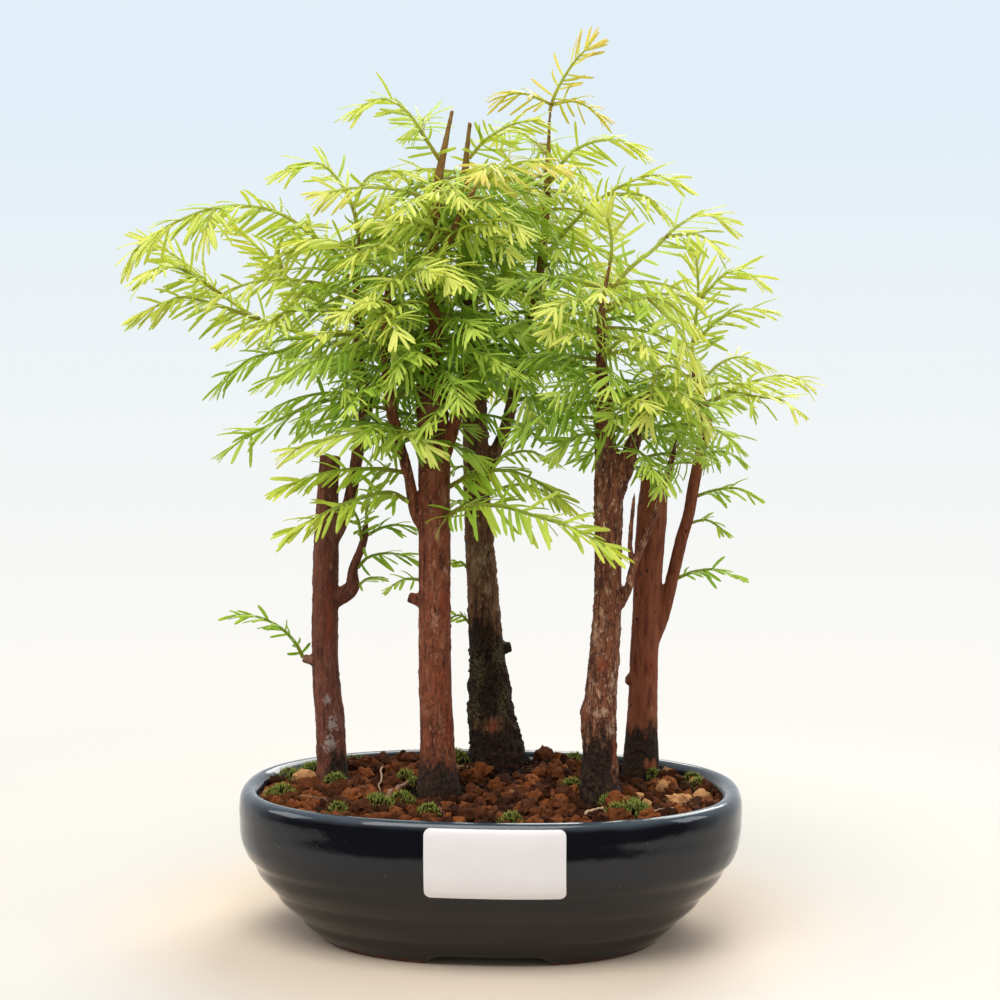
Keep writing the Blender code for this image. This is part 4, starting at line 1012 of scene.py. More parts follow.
def bed_gap_shade_finish():
    finish = Finish("damp_soil_and_gap_shade", {"Roughness": 0.95, "Specular IOR Level": 0.25})
    # The bed's dark is painted shade in the gaps between the crumbs; the wet colours are damp soil.
    dry = finish.blend(paint(42, 21, 13), paint(84, 42, 25), finish.cloud(1.6, 3.0))
    wet = finish.blend(paint(20, 12, 9), paint(42, 25, 17), finish.cloud(1.2, 3.0))
    finish.feed("Base Color", finish.blend(dry, wet, finish.value("damp").between(0.1, 0.6)))
    finish.bump(finish.cloud(1.0, 4.0, 0.7), 1.0, 0.8)
    return finish.material


def make_bed():
    """A lumpy sheet over the shape of the pot's inside."""
    draw = random.Random(SEED)
    edge = inner_oval(SOIL_EDGE - BED_SINK, 120)
    flat = [Vector((point.x, point.y)) for point in edge]
    rows = int(POT_RIM[-1][0] / BED_PITCH)
    for row in range(-rows, rows + 1):
        for column in range(-rows, rows + 1):
            x = (column + 0.5 * (row % 2)) * BED_PITCH + draw.uniform(-0.4, 0.4)
            y = row * BED_PITCH * 0.87 + draw.uniform(-0.4, 0.4)
            if out_share(x, y, 1.6) < 1.0:
                flat.append(Vector((x, y)))
    ring = [list(range(len(edge)))]
    spots, _, faces, _, _, _ = geometry.delaunay_2d_cdt(flat, [], ring, 1, 0.001)
    points = []
    for number, spot in enumerate(spots):
        lump = 0.0
        if number >= len(edge):
            lump = noise.turbulence(Vector((spot.x * 0.35, spot.y * 0.35, 0.0)), 3, True) - 0.6
        points.append(Vector((spot.x, spot.y, soil_height(spot.x, spot.y) - BED_SINK + BED_LUMP * lump)))
    faces = [tuple(face) for face in faces]
    first = len(points)
    points.extend(inner_oval(POT_FLOOR[2] + 0.3, len(edge)))
    count = len(edge)
    for step in range(count):
        after = (step + 1) % count
        faces.append((step, first + step, first + after, after))
    faces.append(tuple(first + step for step in reversed(range(count))))
    damp = [dampness(point.x, point.y) for point in points]
    bed = make_piece("soil_bed", points, faces, bed_gap_shade_finish(), {"damp": damp})
    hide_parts("soil")
    return bed


bed = make_bed()
print("bed faces:", len(bed.data.polygons))

# %% The crumbs on the soil
CRUMB_TRIES = 9000
CRUMB_SIZES = [(3.7, 70), (2.8, 220), (2.0, 420), (1.4, 620), (0.85, 1100)]
CRUMB_EDGE = math.radians(55.0)
TAN_CRUMBS = [(-74.5, 11.8, 4.3), (65.9, 3.4, 3.4), (71.1, -15.3, 3.6), (78.0, 19.5, 2.6),
              (80.4, -2.8, 2.8), (75.0, -6.3, 2.2), (57.1, -8.5, 2.3), (59.9, -17.5, 1.9)]
RED_CRUMBS = [(23.8, 16.4, 4.0), (31.7, -9.4, 3.6), (28.1, -23.9, 3.4), (17.0, 54.0, 3.8),
              (-1.6, 55.0, 3.6)]
NAMED_RISE = 0.5
CRUMB_CLOSENESS = 0.72
TAN_CHANCE = 0.015
TINT_POWER = 1.7


def crumb_finish():
    finish = Finish("baked_clay_crumbs", {"Roughness": 0.95, "Specular IOR Level": 0.1})
    mottle = finish.cloud(1.3, 4.0, 0.7)
    red = finish.blend(paint(54, 28, 15), paint(140, 79, 42), finish.value("tint"))
    red = finish.blend(red, paint(40, 21, 12), mottle.between(0.48, 0.66) * 0.85)
    tan = finish.blend(paint(164, 112, 70), paint(214, 164, 112), mottle)
    colour = finish.blend(red, tan, finish.value("tan"))
    wet = finish.blend(paint(24, 14, 10), paint(62, 33, 20), finish.value("tint"))
    colour = finish.blend(colour, wet, finish.value("damp").between(0.35, 0.85))
    finish.feed("Base Color", colour)
    finish.bump(finish.cloud(0.7, 5.0, 0.75), 1.0, 0.6)
    return finish.material


def ball(level):
    """The points and faces of a unit ball."""
    work = bmesh.new()
    bmesh.ops.create_icosphere(work, subdivisions=level, radius=1.0)
    points = [vert.co.copy() for vert in work.verts]
    faces = [tuple(vert.index for vert in face.verts) for face in work.faces]
    work.free()
    return points, faces


class Crumbs:
    """A heap of small rocks in one mesh."""

    def __init__(self):
        self.points = []
        self.faces = []
        self.values = {"tint": [], "tan": [], "damp": []}
        self.balls = {level: ball(level) for level in (1, 2, 3)}

    def drop(self, middle, radius, draw, tan=0.0, soak=1.0):
        """Add one crumb: a ball pressed out of round, with lumps."""
        spots, faces = self.balls[3 if radius > 3.0 else 2 if radius > 1.2 else 1]
        turn = Matrix.Rotation(draw.uniform(0, math.tau), 3, "Z")
        turn = turn @ Matrix.Rotation(draw.uniform(0, 3), 3, "X")
        stretch = Vector((draw.uniform(0.85, 1.2), draw.uniform(0.75, 1.05), draw.uniform(0.7, 0.95)))
        shift = Vector((draw.uniform(0, 99), draw.uniform(0, 99), draw.uniform(0, 99)))
        first = len(self.points)
        for spot in spots:
            lump = abs(noise.noise(spot * 1.5 + shift)) * 0.95 - 0.2 + noise.noise(spot * 3.4 + shift) * 0.16
            shaped = turn @ (spot * stretch) * radius * (1.0 + lump)
            self.points.append(middle + shaped)
        self.faces += [tuple(first + at for at in face) for face in faces]
        tint = draw.random() ** TINT_POWER
        wet = dampness(middle.x, middle.y) * (1.0 - tan) * soak * draw.uniform(0.7, 1.1)
        for key, number in (("tint", tint), ("tan", tan), ("damp", wet)):
            self.values[key] += [number] * len(spots)


def make_crumbs():
    """Lay the named tan and red crumbs, then drop the others on free spots, largest first."""
    draw = random.Random(SEED + 1)
    heap = Crumbs()
    laid = []
    for tan, spots in ((1.0, TAN_CRUMBS), (0.0, RED_CRUMBS)):
        for x, y, radius in spots:
            laid.append((x, y, radius))
            z = soil_height(x, y) + radius * NAMED_RISE
            heap.drop(Vector((x, y, z)), radius, draw, tan, 0.2)
    grid = {}
    for radius, wanted in CRUMB_SIZES:
        dropped = 0
        for _ in range(CRUMB_TRIES):
            size = radius * draw.uniform(0.82, 1.18)
            x = draw.uniform(-87.0, 87.0)
            y = draw.uniform(-60.0, 60.0)
            if out_share(x, y, size * 0.9) > 1.0:
                continue
            if any(math.hypot(x - foot.x, y - foot.y) < thick + size * 0.75 for foot, thick in FEET.values()):
                continue
            if size > BARE_CRUMB and dampness(x, y) > BARE_DAMP:
                continue
            if any(math.hypot(x - a, y - b) < wide for a, b, wide in MOSS):
                continue
            cell = (int(x // 8), int(y // 8))
            near = [spot for i in (-1, 0, 1) for j in (-1, 0, 1)
                    for spot in grid.get((cell[0] + i, cell[1] + j), [])] + laid
            if any(math.hypot(x - a, y - b) < (size + other) * CRUMB_CLOSENESS for a, b, other in near):
                continue
            grid.setdefault(cell, []).append((x, y, size))
            sink = 0.05 if radius > 1.3 else -0.3
            z = soil_height(x, y) - BED_SINK + size * draw.uniform(0.2, 1.0) - sink
            heap.drop(Vector((x, y, z)), size, draw, 0.0 if draw.random() > TAN_CHANCE else 0.5)
            dropped += 1
            if dropped >= wanted:
                break
        print("crumbs of", radius, "mm:", dropped)
    item = make_piece("soil_crumbs", heap.points, heap.faces, crumb_finish(), heap.values)
    item.data.set_sharp_from_angle(angle=CRUMB_EDGE)
    return item


crumbs = make_crumbs()
print("crumb faces:", len(crumbs.data.polygons))

# %% [markdown]
# Moss grows in small cushions where the soil stays wet, and a few fine roots and dry twigs lie on
# top. A cushion is many short leaning spikes on a dome, because moss seen this near is not smooth.
# The roots are thin tubes that follow the soil's height and dip between the crumbs at their ends.

# %% Moss, roots and twigs
MOSS_SPIKES = 8.0
MOSS_SPREAD = 1.4
MOSS_DOME = 4.0
MOSS_SPIKE_FOOT = 0.34
ROOT_HEIGHT = 2.3
ROOT_DIP = 2.0
ROOT_STEPS = 12
ROOT_FINE_STEPS = 40
ROOTS = [((-46.6, 34.0), (-41.8, -6.1), 0.55, 0.5), ((-37.1, -19.6), (-31.1, 3.0), 1.3, 0.2),
         ((-19.7, 12.9), (-15.6, 17.9), 0.7, 0.5), ((-14.9, 21.5), (-5.5, 21.3), 0.5, 0.5),
         ((-15.8, -36.4), (-12.8, -46.0), 0.5, 0.0), ((36.2, -12.0), (44.4, -13.9), 0.6, 1.0),
         ((37.5, -39.9), (45.0, -31.1), 0.6, 1.0), ((60.0, -36.0), (72.0, -26.0), 0.35, 0.6),
         ((-70.0, -20.0), (-58.0, -26.0), 0.35, 0.3)]


def moss_finish():
    finish = Finish("moss", {"Roughness": 0.8, "Specular IOR Level": 0.2})
    colour = finish.blend(paint(40, 50, 18), paint(140, 148, 60), finish.value("tint"))
    finish.feed("Base Color", colour)
    return finish.material


def make_moss():
    """Cushions of three-sided spikes that lean outwards."""
    draw = random.Random(SEED + 4)
    points = []
    faces = []
    tints = []
    for x, y, size in MOSS:
        reach = size * MOSS_SPREAD
        for _ in range(int(MOSS_SPIKES * reach * reach)):
            out = reach * math.sqrt(draw.random())
            angle = draw.uniform(0.0, math.tau)
            away = Vector((math.cos(angle), math.sin(angle), 0.0))
            foot = Vector((x, y, 0.0)) + away * out
            if out_share(foot.x, foot.y, 1.5) > 1.0:
                continue
            dome = MOSS_DOME * (1.0 - (out / reach) ** 2) - 0.2
            foot.z = soil_height(foot.x, foot.y) + dome + 0.4 * noise.noise(foot * 0.5)
            tall = draw.uniform(0.9, 2.3)
            lean = away * draw.uniform(-0.2, 0.9) + Vector((0.0, 0.0, 1.0))
            tip = foot + lean.normalized() * tall
            first = len(points)
            turn = draw.uniform(0.0, math.tau)
            for corner in range(3):
                at = turn + corner * math.tau / 3.0
                points.append(foot + Vector((math.cos(at), math.sin(at), 0.0)) * MOSS_SPIKE_FOOT)
            points.append(tip)
            faces += [(first + 2, first + 1, first), (first, first + 1, first + 3),
                      (first + 1, first + 2, first + 3), (first + 2, first, first + 3)]
            shade = draw.random() * 0.5
            tints += [shade * 0.4] * 3 + [shade + 0.5]
    item = make_piece("soil_moss", points, faces, moss_finish(), {"tint": tints})
    return item


def root_finish():
    finish = Finish("roots_and_twigs", {"Roughness": 0.8})
    colour = finish.blend(paint(96, 48, 28), paint(190, 158, 122), finish.value("pale"))
    stain = finish.cloud(1.2).between(0.5, 0.7) * 0.6
    finish.feed("Base Color", finish.blend(colour, paint(58, 34, 22), stain))
    finish.bump(finish.cloud(0.6, 3.0), 0.6, 0.2)
    return finish.material


def make_roots():
    """Thin wandering tubes that lie on the crumbs."""
    draw = random.Random(SEED + 5)
    points = []
    faces = []
    pales = []
    for start, end, radius, pale in ROOTS:
        a = Vector((*start, 0.0))
        b = Vector((*end, 0.0))
        across = (b - a).cross(Vector((0.0, 0.0, 1.0))).normalized()
        spots = []
        for step in range(ROOT_STEPS + 1):
            spot = a.lerp(b, step / ROOT_STEPS) + across * draw.uniform(-0.6, 0.6)
            spot.z = soil_height(spot.x, spot.y) + ROOT_HEIGHT + draw.uniform(-0.3, 0.3)
            if step in (0, ROOT_STEPS):
                spot.z -= ROOT_DIP
            spots.append(spot)
        shares = [number / ROOT_FINE_STEPS for number in range(ROOT_FINE_STEPS + 1)]
        fine = [curve_through(spots, share) for share in shares]
        first = len(points)
        sweep(fine, [radius * (1.0 - 0.5 * share) for share in shares], 6, points, faces)
        pales += [pale] * (len(points) - first)
    item = make_piece("soil_roots", points, faces, root_finish(), {"pale": pales})
    return item


print("moss faces:", len(make_moss().data.polygons))
print("root faces:", len(make_roots().data.polygons))

# %% [markdown]
# Foliage. A dawn redwood's short shoot is a green rib with flat soft needles in two ranks. A card
# with a picture on it would be quick, but it turns to nothing from the side, so every needle here
# is a thin closed blade that bends over and droops, and every rib is a tube. A spray names its
# limb, the height where it leaves (None is the limb's end), its route, and what differs from the
# usual: needle length, width and pitch, droop, roll, face, look, and side shoots with their place.

# %% Routes of the sprays
SPRAYS = {
    "left": [
        ("stub", None, [(-74, 109, 23), (-80, 115, 22), (-89, 119, 19), (-101, 119.6, 15)],
         {"length": 0.62}),
        ("low", 150, [(-41, 152.6, 17), (-35, 153.8, 18), (-28, 152.4, 20)], {"length": 0.8}),
        ("low", 138, [(-46, 141.5, 19), (-38, 143, 18), (-28, 141, 17)], {"length": 0.8}),
        ("high", 203, [(-60, 201, 14), (-74, 196, 8), (-99, 183, 4)],
         {"length": 1.25, "width": 1.1, "pitch": 0.85}),
        ("high", 226, [(-64, 224, 24), (-79, 219, 27), (-91, 215.6, 28), (-104, 204.5, 26)], {}),
        ("high", 240, [(-60, 243.6, 12), (-79, 246, 4), (-93, 243.5, -2), (-105, 238, -4)],
         {"sides": [(0.34, [(-80, 231, -12), (-93, 227, -18), (-102, 222, -20)])]}),
        ("high", 250, [(-64.6, 261, 12), (-80, 271, 7), (-98, 273, 3), (-114, 268.6, 1),
                       (-129.6, 259.6, -1), (-137, 250, -2)],
         {"droop": 1.3, "length": 1.12, "width": 1.05, "pitch": 0.76,
          "sides": [(0.6, [(-103, 271.6, -3), (-105, 267.6, -8), (-106.5, 261, -12)])]}),
        ("high", 220, [(-66, 224.5, 36), (-86, 231, 40), (-100, 240, 39), (-114, 252, 36),
                       (-130, 262, 32)],
         {"length": 1.15, "width": 1.05, "pitch": 0.76, "roll": -0.5,
          "sides": [(0.5, [(-112, 239, 30), (-122, 237, 25), (-133, 232.5, 21)]),
                    (0.68, [(-118, 251, 30), (-125, 249.6, 22), (-131, 245.6, 15)])]}),
        ("high", 233, [(-62, 236, 25), (-74, 245, 27), (-86, 257, 26), (-98, 267.6, 22)],
         {"pitch": 0.8, "sides": [(0.6, [(-79, 258, 18), (-74, 264, 9), (-66, 266, 1)])]}),
        ("high", None, [(-51, 272, 16), (-56, 282, 17), (-65, 289, 18), (-82, 284.6, 17)],
         {"sides": [(0.24, [(-46, 283, 10), (-38, 286, 7), (-28, 285, 5)])]}),
        ("high", 211, [(-56, 215, 36), (-66, 217, 54), (-76, 212, 72)],
         {"sides": [(0.2, [(-48, 221, 54), (-42, 224, 66), (-38, 220, 78)])]}),
        ("high", 252, [(-56, 258, 32), (-64, 261, 50), (-72, 257, 66)],
         {"sides": [(0.24, [(-47, 264, 38), (-40, 265.6, 46), (-34, 262, 56)])]}),
    ],
    "centre": [
        # The low and young looks on these low fans are painted brighter, against the crown's shade over them.
        ("left", 163, [(-39.4, 166, -7), (-57.7, 160.5, -10), (-78.5, 149, -11)],
         {"width": 1.2, "pitch": 0.8, "droop": 0.75, "look": "low"}),
        ("left", 174, [(-43, 175, -1), (-61.6, 173.5, -1), (-82, 166, -3)],
         {"width": 1.2, "pitch": 0.8, "droop": 0.75, "look": "low"}),
        ("trunk", 187, [(-32, 189, -13), (-44, 189, -17), (-57, 187, -19), (-79, 180.6, -16)],
         {"width": 1.15, "pitch": 0.8, "droop": 0.75, "look": "young",
          "sides": [(0.18, [(-33, 188, -24), (-28, 186.6, -30), (-21, 181, -35)])]}),
        ("left", 217, [(-54, 219, -12), (-69.4, 214, -17), (-88, 206, -19)], {}),
        ("trunk", 290, [(-25, 299.5, 0), (-31, 308, -2), (-40, 312.6, -4), (-53, 307, -6)],
         {"sides": [(0.3, [(-24, 305, 14), (-26, 304, 24), (-31, 299, 33)])]}),
        ("left", 227, [(-37, 231, -14), (-36, 231, -30), (-34, 223, -44)], {}),
        ("left", None, [(-44, 252, -7), (-58, 260, -15), (-74, 260, -22)], {}),
        ("trunk", 215, [(-27, 218, -14), (-32, 213, -24), (-39, 204, -32)], {}),
        ("fork", None, [(-3, 217, -10), (7, 213.6, -16), (13, 203.6, -21), (17, 191, -23)], {}),
        ("trunk", 168, [(-8, 172, -5), (4, 174.4, -8), (16, 171, -10), (31, 160.4, -11)],
         {"width": 1.25, "pitch": 0.76, "droop": 0.75, "look": "low"}),
        ("trunk", 156, [(-10, 160.5, -13), (3, 161, -18), (16, 157.4, -23), (31, 152.4, -29),
                        (49, 142.6, -35)],
         {"width": 1.3, "pitch": 0.76, "droop": 0.8, "length": 1.08, "look": "low"}),
        ("trunk", 240, [(-21, 248, -12), (-15, 250, -26), (-10, 243.6, -42)], {}),
        ("olive", 262, [(-5, 266.5, -14), (5, 267.5, -22), (15, 262, -28)], {}),
        ("olive", None, [(2, 285, -8), (14, 289.5, -11), (29, 287, -14)],
         {"sides": [(0.2, [(2, 288, -18), (0, 288.4, -28), (-6, 284, -38)])]}),
        ("trunk", 268, [(-24, 273.5, -8), (-29, 275.5, -22), (-34, 270, -38)], {}),
        ("trunk", 222, [(-26, 229, 14), (-28, 232, 28), (-31, 228.6, 42)], {}),
    ],
    "back": [
        ("trunk", 291, [(-1, 298, 24), (9, 303.4, 18), (20, 305, 12)], {}),
        ("leader", None, [(23.5, 312.6, 34), (26.6, 319, 34), (32, 327, 34), (38.6, 333.4, 33)],
         {"face": "front", "length": 0.95, "width": 0.9,
          "sides": [(0.1, [(12, 314.6, 31), (3, 313, 28)]),
                    (0.1, [(32, 311.6, 37), (42, 306, 40)])]}),
        ("leader", 282, [(29, 291.4, 31), (38, 296.6, 28), (49, 297, 26), (58, 291.6, 24)], {}),
        ("leader", 292, [(15, 298, 50), (8, 301, 63), (0, 297, 76)],
         {"sides": [(0.25, [(25, 295, 58), (31, 290, 69), (36, 281, 80)])]}),
        ("leader", 254, [(29, 264.6, 28), (38.6, 274, 20), (50, 281, 13), (61, 284.4, 9),
                         (74, 280.6, 7)],
         {"sides": [(0.56, [(57, 277, 4), (66, 270, -3)])]}),
        ("trunk", 258, [(0, 262.5, 24), (6, 262.5, 9), (9, 256, -6)], {}),
        ("trunk", 240, [(3, 246, 56), (12, 247.4, 70), (22, 241, 84)],
         {"sides": [(0.5, [(16, 257, 65), (25, 264, 70), (35, 263, 78)])]}),
        ("trunk", 226, [(-18, 232, 58), (-28, 233.4, 72), (-40, 227, 84)],
         {"sides": [(0.25, [(-8, 226, 64), (-2, 216, 72), (3, 204, 78)])]}),
        ("trunk", 272, [(-12, 279, 52), (-12, 281.6, 67), (-14, 277, 84)],
         {"sides": [(0.24, [(0, 283, 58), (8, 282.6, 64), (17, 277, 70)])]}),
        ("leader", 238, [(27, 244, 36), (38, 247.6, 37), (51, 243.6, 38)],
         {"sides": [(0.3, [(34, 250, 50), (42, 252, 62), (50, 247, 74)])]}),
        ("leader", 201, [(16, 201, 30), (27, 198.4, 20), (38, 190.6, 13)],
         {"sides": [(0.2, [(20, 201, 46), (25, 197, 58), (30, 189, 70)])]}),
        ("leader", 222, [(24, 228, 28), (33, 229.6, 17), (43, 224, 8)], {}),
    ],
    "front": [
        ("trunk", 240, [(51.7, 249.5, -12), (61, 257, -11), (70, 265.6, -10), (80, 270, -9),
                        (91, 264.8, -8)],
         {"sides": [(0.55, [(77, 262.6, -18), (86, 257, -24)])]}),
        ("trunk", None, [(45.4, 257, -14), (44.8, 264, -15), (43, 272, -16)], {"face": "front"}),
        ("trunk", 230, [(38, 236, -26), (30, 238.4, -38), (21, 233, -49)], {}),
        ("trunk", 218, [(49, 223, -27), (55, 223.6, -39), (61, 217.6, -51)], {}),
        ("trunk", 234, [(54, 238.4, -21), (66, 237.4, -26), (79, 226, -29)],
         {"sides": [(0.5, [(68, 230, -36), (74, 221, -42), (80, 210, -46)])]}),
        ("fork", None, [(64, 213, -22), (70, 212.6, -33), (78, 206, -43)],
         {"sides": [(0.25, [(62, 209, -31), (60, 201, -39), (58, 190, -45)]),
                    (0.2, [(71, 208, -21), (77, 200, -24), (83, 190, -27)])]}),
    ],
    "right": [
        ("branch", None, [(75.6, 219, 26), (76.9, 230, 25), (77.8, 243, 24), (76.4, 259, 24)],
         {"face": "front",
          "sides": [(0.22, [(90, 233.4, 20), (106, 235, 18)]),
                    (0.62, [(90, 249, 22), (102, 245, 21)])]}),
        ("branch", 198, [(91, 205, 27), (101, 208.4, 25), (111, 210, 23), (121.4, 205.6, 22)],
         {"sides": [(0.26, [(101, 202, 12), (109, 201, 7), (117, 196, 4)])]}),
        ("branch", 206, [(86, 214.4, 36), (94, 217, 44), (104, 213.4, 50)], {}),
        ("branch", 165, [(85, 167, 30), (93, 167.6, 29), (101, 164.6, 28)], {"length": 0.7}),
        ("branch", 134, [(77, 136, 30), (85, 136.8, 29), (94.6, 133.6, 28)], {"length": 0.7}),
        ("branch", 195, [(79, 203, 44), (77, 207, 58), (73, 203.6, 73)],
         {"sides": [(0.45, [(70, 203, 60), (61, 199, 66), (52, 191, 71)])]}),
    ],
}
print("sprays:", sum(len(sprays) for sprays in SPRAYS.values()))

# %% [markdown]
# A spray is built from its rib. Each row has three directions: along the rib, to its side, and up
# out of its face. A needle starts sideways, leans forward more and more towards the tip, and its
# outer half bends down. Its width swells from a thin foot and ends in a blunt tip.

# %% Growing one spray
NEEDLE_PITCH = 2.6
NEEDLE_LENGTH = 14.5
NEEDLE_WIDTH = 1.28
NEEDLE_THICKNESS = 0.34
NEEDLE_STATIONS = (0.0, 0.16, 0.5, 0.82, 0.95)
NEEDLE_SHAPE = (0.36, 0.84, 1.0, 0.9, 0.56)
LEAN_FIRST = math.radians(76.0)
LEAN_LAST = math.radians(30.0)
NEEDLE_DROOP = math.radians(36.0)
NEEDLE_CURL = math.radians(17.0)
RAISED_SHARE = 0.2
RAISED_BY = (35.0, 65.0)
LOST_SHARE = 0.05
LEAN_SPREAD = 9.0
DROOP_SPREAD = 14.0
BEND_FORWARD = 0.14
END_NEEDLES = (-0.6, -0.2, 0.22, 0.56)
ROUTE_STEPS = 120
TIP_TRIM = 6.0
TIP_TRIM_SHARE = 0.16
RIB_FOOT = 1.0
RIB_TIP = 0.4
OUTWARD_TILT = 0.5
SEAT_SINK = 0.3


def even_rows(points, pitch):
    """Rows one pitch apart along a smooth route, which end short of it for the end needles."""
    fine = [curve_through(points, step / ROUTE_STEPS) for step in range(ROUTE_STEPS + 1)]
    lengths = [0.0]
    for before, after in zip(fine, fine[1:]):
        lengths.append(lengths[-1] + (after - before).length)
    reach = lengths[-1] - min(TIP_TRIM, TIP_TRIM_SHARE * lengths[-1])
    count = max(4, round(reach / pitch))
    rows = []
    at = 0
    for row in range(count + 1):
        want = reach * row / count
        while at < ROUTE_STEPS - 1 and lengths[at + 1] < want:
            at += 1
        span = max(lengths[at + 1] - lengths[at], 1e-9)
        rows.append(fine[at].lerp(fine[at + 1], (want - lengths[at]) / span))
    return rows


class Leafage:
    """Ribs and needles gathered into one mesh, with the numbers that their finish reads."""

    def __init__(self):
        self.points = []
        self.faces = []
        self.values = {"fresh": [], "tint": [], "rib": [], "blush": []}
        self.needles = 0

    def note(self, count, fresh, tint, rib, blush):
        """Write the same numbers for the points that were just added."""
        for key, number in (("fresh", fresh), ("tint", tint), ("rib", rib), ("blush", blush)):
            self.values[key] += [number] * count

    def grow_needle(self, foot, out, bent, flat, size, width, fresh, tint, blush=0.0):
        """One thin closed blade along a bent line: rings of four corners, then a tip."""
        bend = foot + out * size * 0.5
        tip = bend + bent * size * 0.5
        first = len(self.points)
        for share, full in zip(NEEDLE_STATIONS, NEEDLE_SHAPE):
            before = foot.lerp(bend, share)
            after = bend.lerp(tip, share)
            along = (after - before).normalized()
            across = (flat - along * flat.dot(along)).normalized()
            raised = across.cross(along)
            middle = before.lerp(after, share)
            half = across * (width * full / 2.0)
            thick = raised * (NEEDLE_THICKNESS / 2.0)
            self.points += [middle - half, middle + thick * 1.5, middle + half, middle - thick * 0.5]
            self.note(4, fresh, tint, 0.0, blush * share)
        self.points.append(tip)
        self.note(1, fresh, tint, 0.0, blush)
        for ring in range(len(NEEDLE_SHAPE) - 1):
            low = first + 4 * ring
            for corner in range(4):
                after = (corner + 1) % 4
                self.faces.append((low + corner, low + after, low + 4 + after, low + 4 + corner))
        last = first + 4 * (len(NEEDLE_SHAPE) - 1)
        self.faces += [(last + corner, last + (corner + 1) % 4, last + 4) for corner in range(4)]
        self.faces.append((first + 3, first + 2, first + 1, first))
        self.needles += 1

    def grow_spray(self, points, options, draw, bare=1):
        """A rib with two ranks of needles. Gives back its rows."""
        rows = even_rows(points, NEEDLE_PITCH * options.get("pitch", 1.0))
        last = len(rows) - 1
        length = NEEDLE_LENGTH * options.get("length", 1.0)
        sag = NEEDLE_DROOP * options.get("droop", 1.0)
        blush = options.get("blush", 0.0)
        broad = NEEDLE_WIDTH * options.get("width", 1.0)
        thick = RIB_FOOT * min(1.0, 0.6 + last / 60.0)
        radii = [thick + (RIB_TIP - thick) * row / last for row in range(last + 1)]
        sweep(rows, radii, 6, self.points, self.faces)
        for row in range(last + 1):
            self.note(6, row / last, 0.5, 1.0, 0.0)
        for row in range(bare, last + 1):
            share = row / last
            along = (rows[min(row + 1, last)] - rows[max(row - 1, 0)]).normalized()
            if options.get("face") == "front":
                upper = Vector((0.0, -1.0, 0.0))
            else:
                outward = rows[row] - Vector((CROWN_X, CROWN_Y, rows[row].z))
                upper = Vector((0.0, 0.0, 1.0)) + outward.normalized() * OUTWARD_TILT
            upper = (upper - along * upper.dot(along)).normalized()
            upper = Matrix.Rotation(options.get("roll", 0.0), 3, along) @ upper
            across = along.cross(upper)
            for side in (-1, 1):
                if draw.random() < LOST_SHARE:
                    continue
                lean = LEAN_FIRST + (LEAN_LAST - LEAN_FIRST) * share ** 1.4
                lean += math.radians(draw.gauss(0.0, LEAN_SPREAD))
                droop = sag + math.radians(draw.gauss(0.0, DROOP_SPREAD))
                if draw.random() < RAISED_SHARE:
                    droop -= math.radians(draw.uniform(*RAISED_BY))
                size = length * (0.66 + 0.34 * math.sin(math.pi * (0.2 + share * 0.66)))
                size *= draw.uniform(0.84, 1.08)
                early = droop - NEEDLE_CURL
                late = droop + NEEDLE_CURL
                turned = lean - BEND_FORWARD
                start = across * side * math.cos(early) - upper * math.sin(early)
                end = across * side * math.cos(late) - upper * math.sin(late)
                out = along * math.cos(lean) + start * math.sin(lean)
                bent = along * math.cos(turned) + end * math.sin(turned)
                flat = along + upper * draw.gauss(0.0, 0.3)
                foot = rows[row] + along * draw.uniform(-0.9, 0.9)
                fresh = min(1.0, share * 0.9 + 0.1 * draw.random())
                width = broad * draw.uniform(0.82, 1.1)
                self.grow_needle(foot, out, bent, flat, size, width, fresh, draw.random(), blush)
        for spread in END_NEEDLES:
            out = (along + across * (spread + draw.uniform(-0.08, 0.08)) - upper * 0.1).normalized()
            bent = (out - upper * draw.uniform(0.05, 0.4)).normalized()
            self.grow_needle(rows[-1], out, bent, across, length * draw.uniform(0.58, 0.74),
                             broad * 0.9, 1.0, draw.random(), blush)
        return rows


def seat(tree, limb, z, toward):
    """Where a spray leaves its limb: just in the bark, on the side it grows to."""
    route = limb_route(tree, limb)
    if z is None:
        return route[-1][0]
    heights = [spot[1] for spot in TREES[tree][limb]]
    line = route[1:] if limb == "trunk" else route
    for number in range(len(heights) - 1):
        if heights[number] <= z <= heights[number + 1]:
            break
    share = (z - heights[number]) / (heights[number + 1] - heights[number])
    place = line[number][0].lerp(line[number + 1][0], share)
    radius = line[number][1] + share * (line[number + 1][1] - line[number][1])
    along = (line[number + 1][0] - line[number][0]).normalized()
    away = toward - place
    away -= along * away.dot(along)
    return place + away.normalized() * (radius - SEAT_SINK)


print("a spray of 60 mm has about", round(60.0 / NEEDLE_PITCH) * 2, "needles")

# %% [markdown]
# Needles are soft, thin and partly clear, so light from behind glows through them. Old needles deep in the
# crown are dark green, fresh ones at the tips yellow green, and the topmost shoot is touched with gold. Where
# a spray sits in the crown picks its finish, which is partly painted light: paler finishes high and outside,
# darker ones deep inside as painted shade. Five finishes share one recipe of an old, a fresh and a rib
# colour, and each needle's own numbers vary it. The low one is for the bright fans that hang between the
# trunks; its brightness is painted light against the crown's shade over them.

# %% The needles' finish
NEEDLE_COLOURS = {
    "golden": ((172, 194, 74), (232, 224, 126), (132, 146, 56)),
    "young": ((156, 196, 72), (232, 232, 130), (140, 152, 64)),
    "full": ((110, 170, 52), (212, 222, 106), (124, 142, 58)),
    "deep": ((80, 142, 44), (204, 222, 92), (102, 116, 50)),
    # The low fans get a brighter finish as painted light, against the crown's shade over them.
    "low": ((136, 188, 58), (230, 236, 108), (128, 148, 60)),
}
THROUGH_SHARE = 0.46
THROUGH_LIFT = (20, 26, 22)


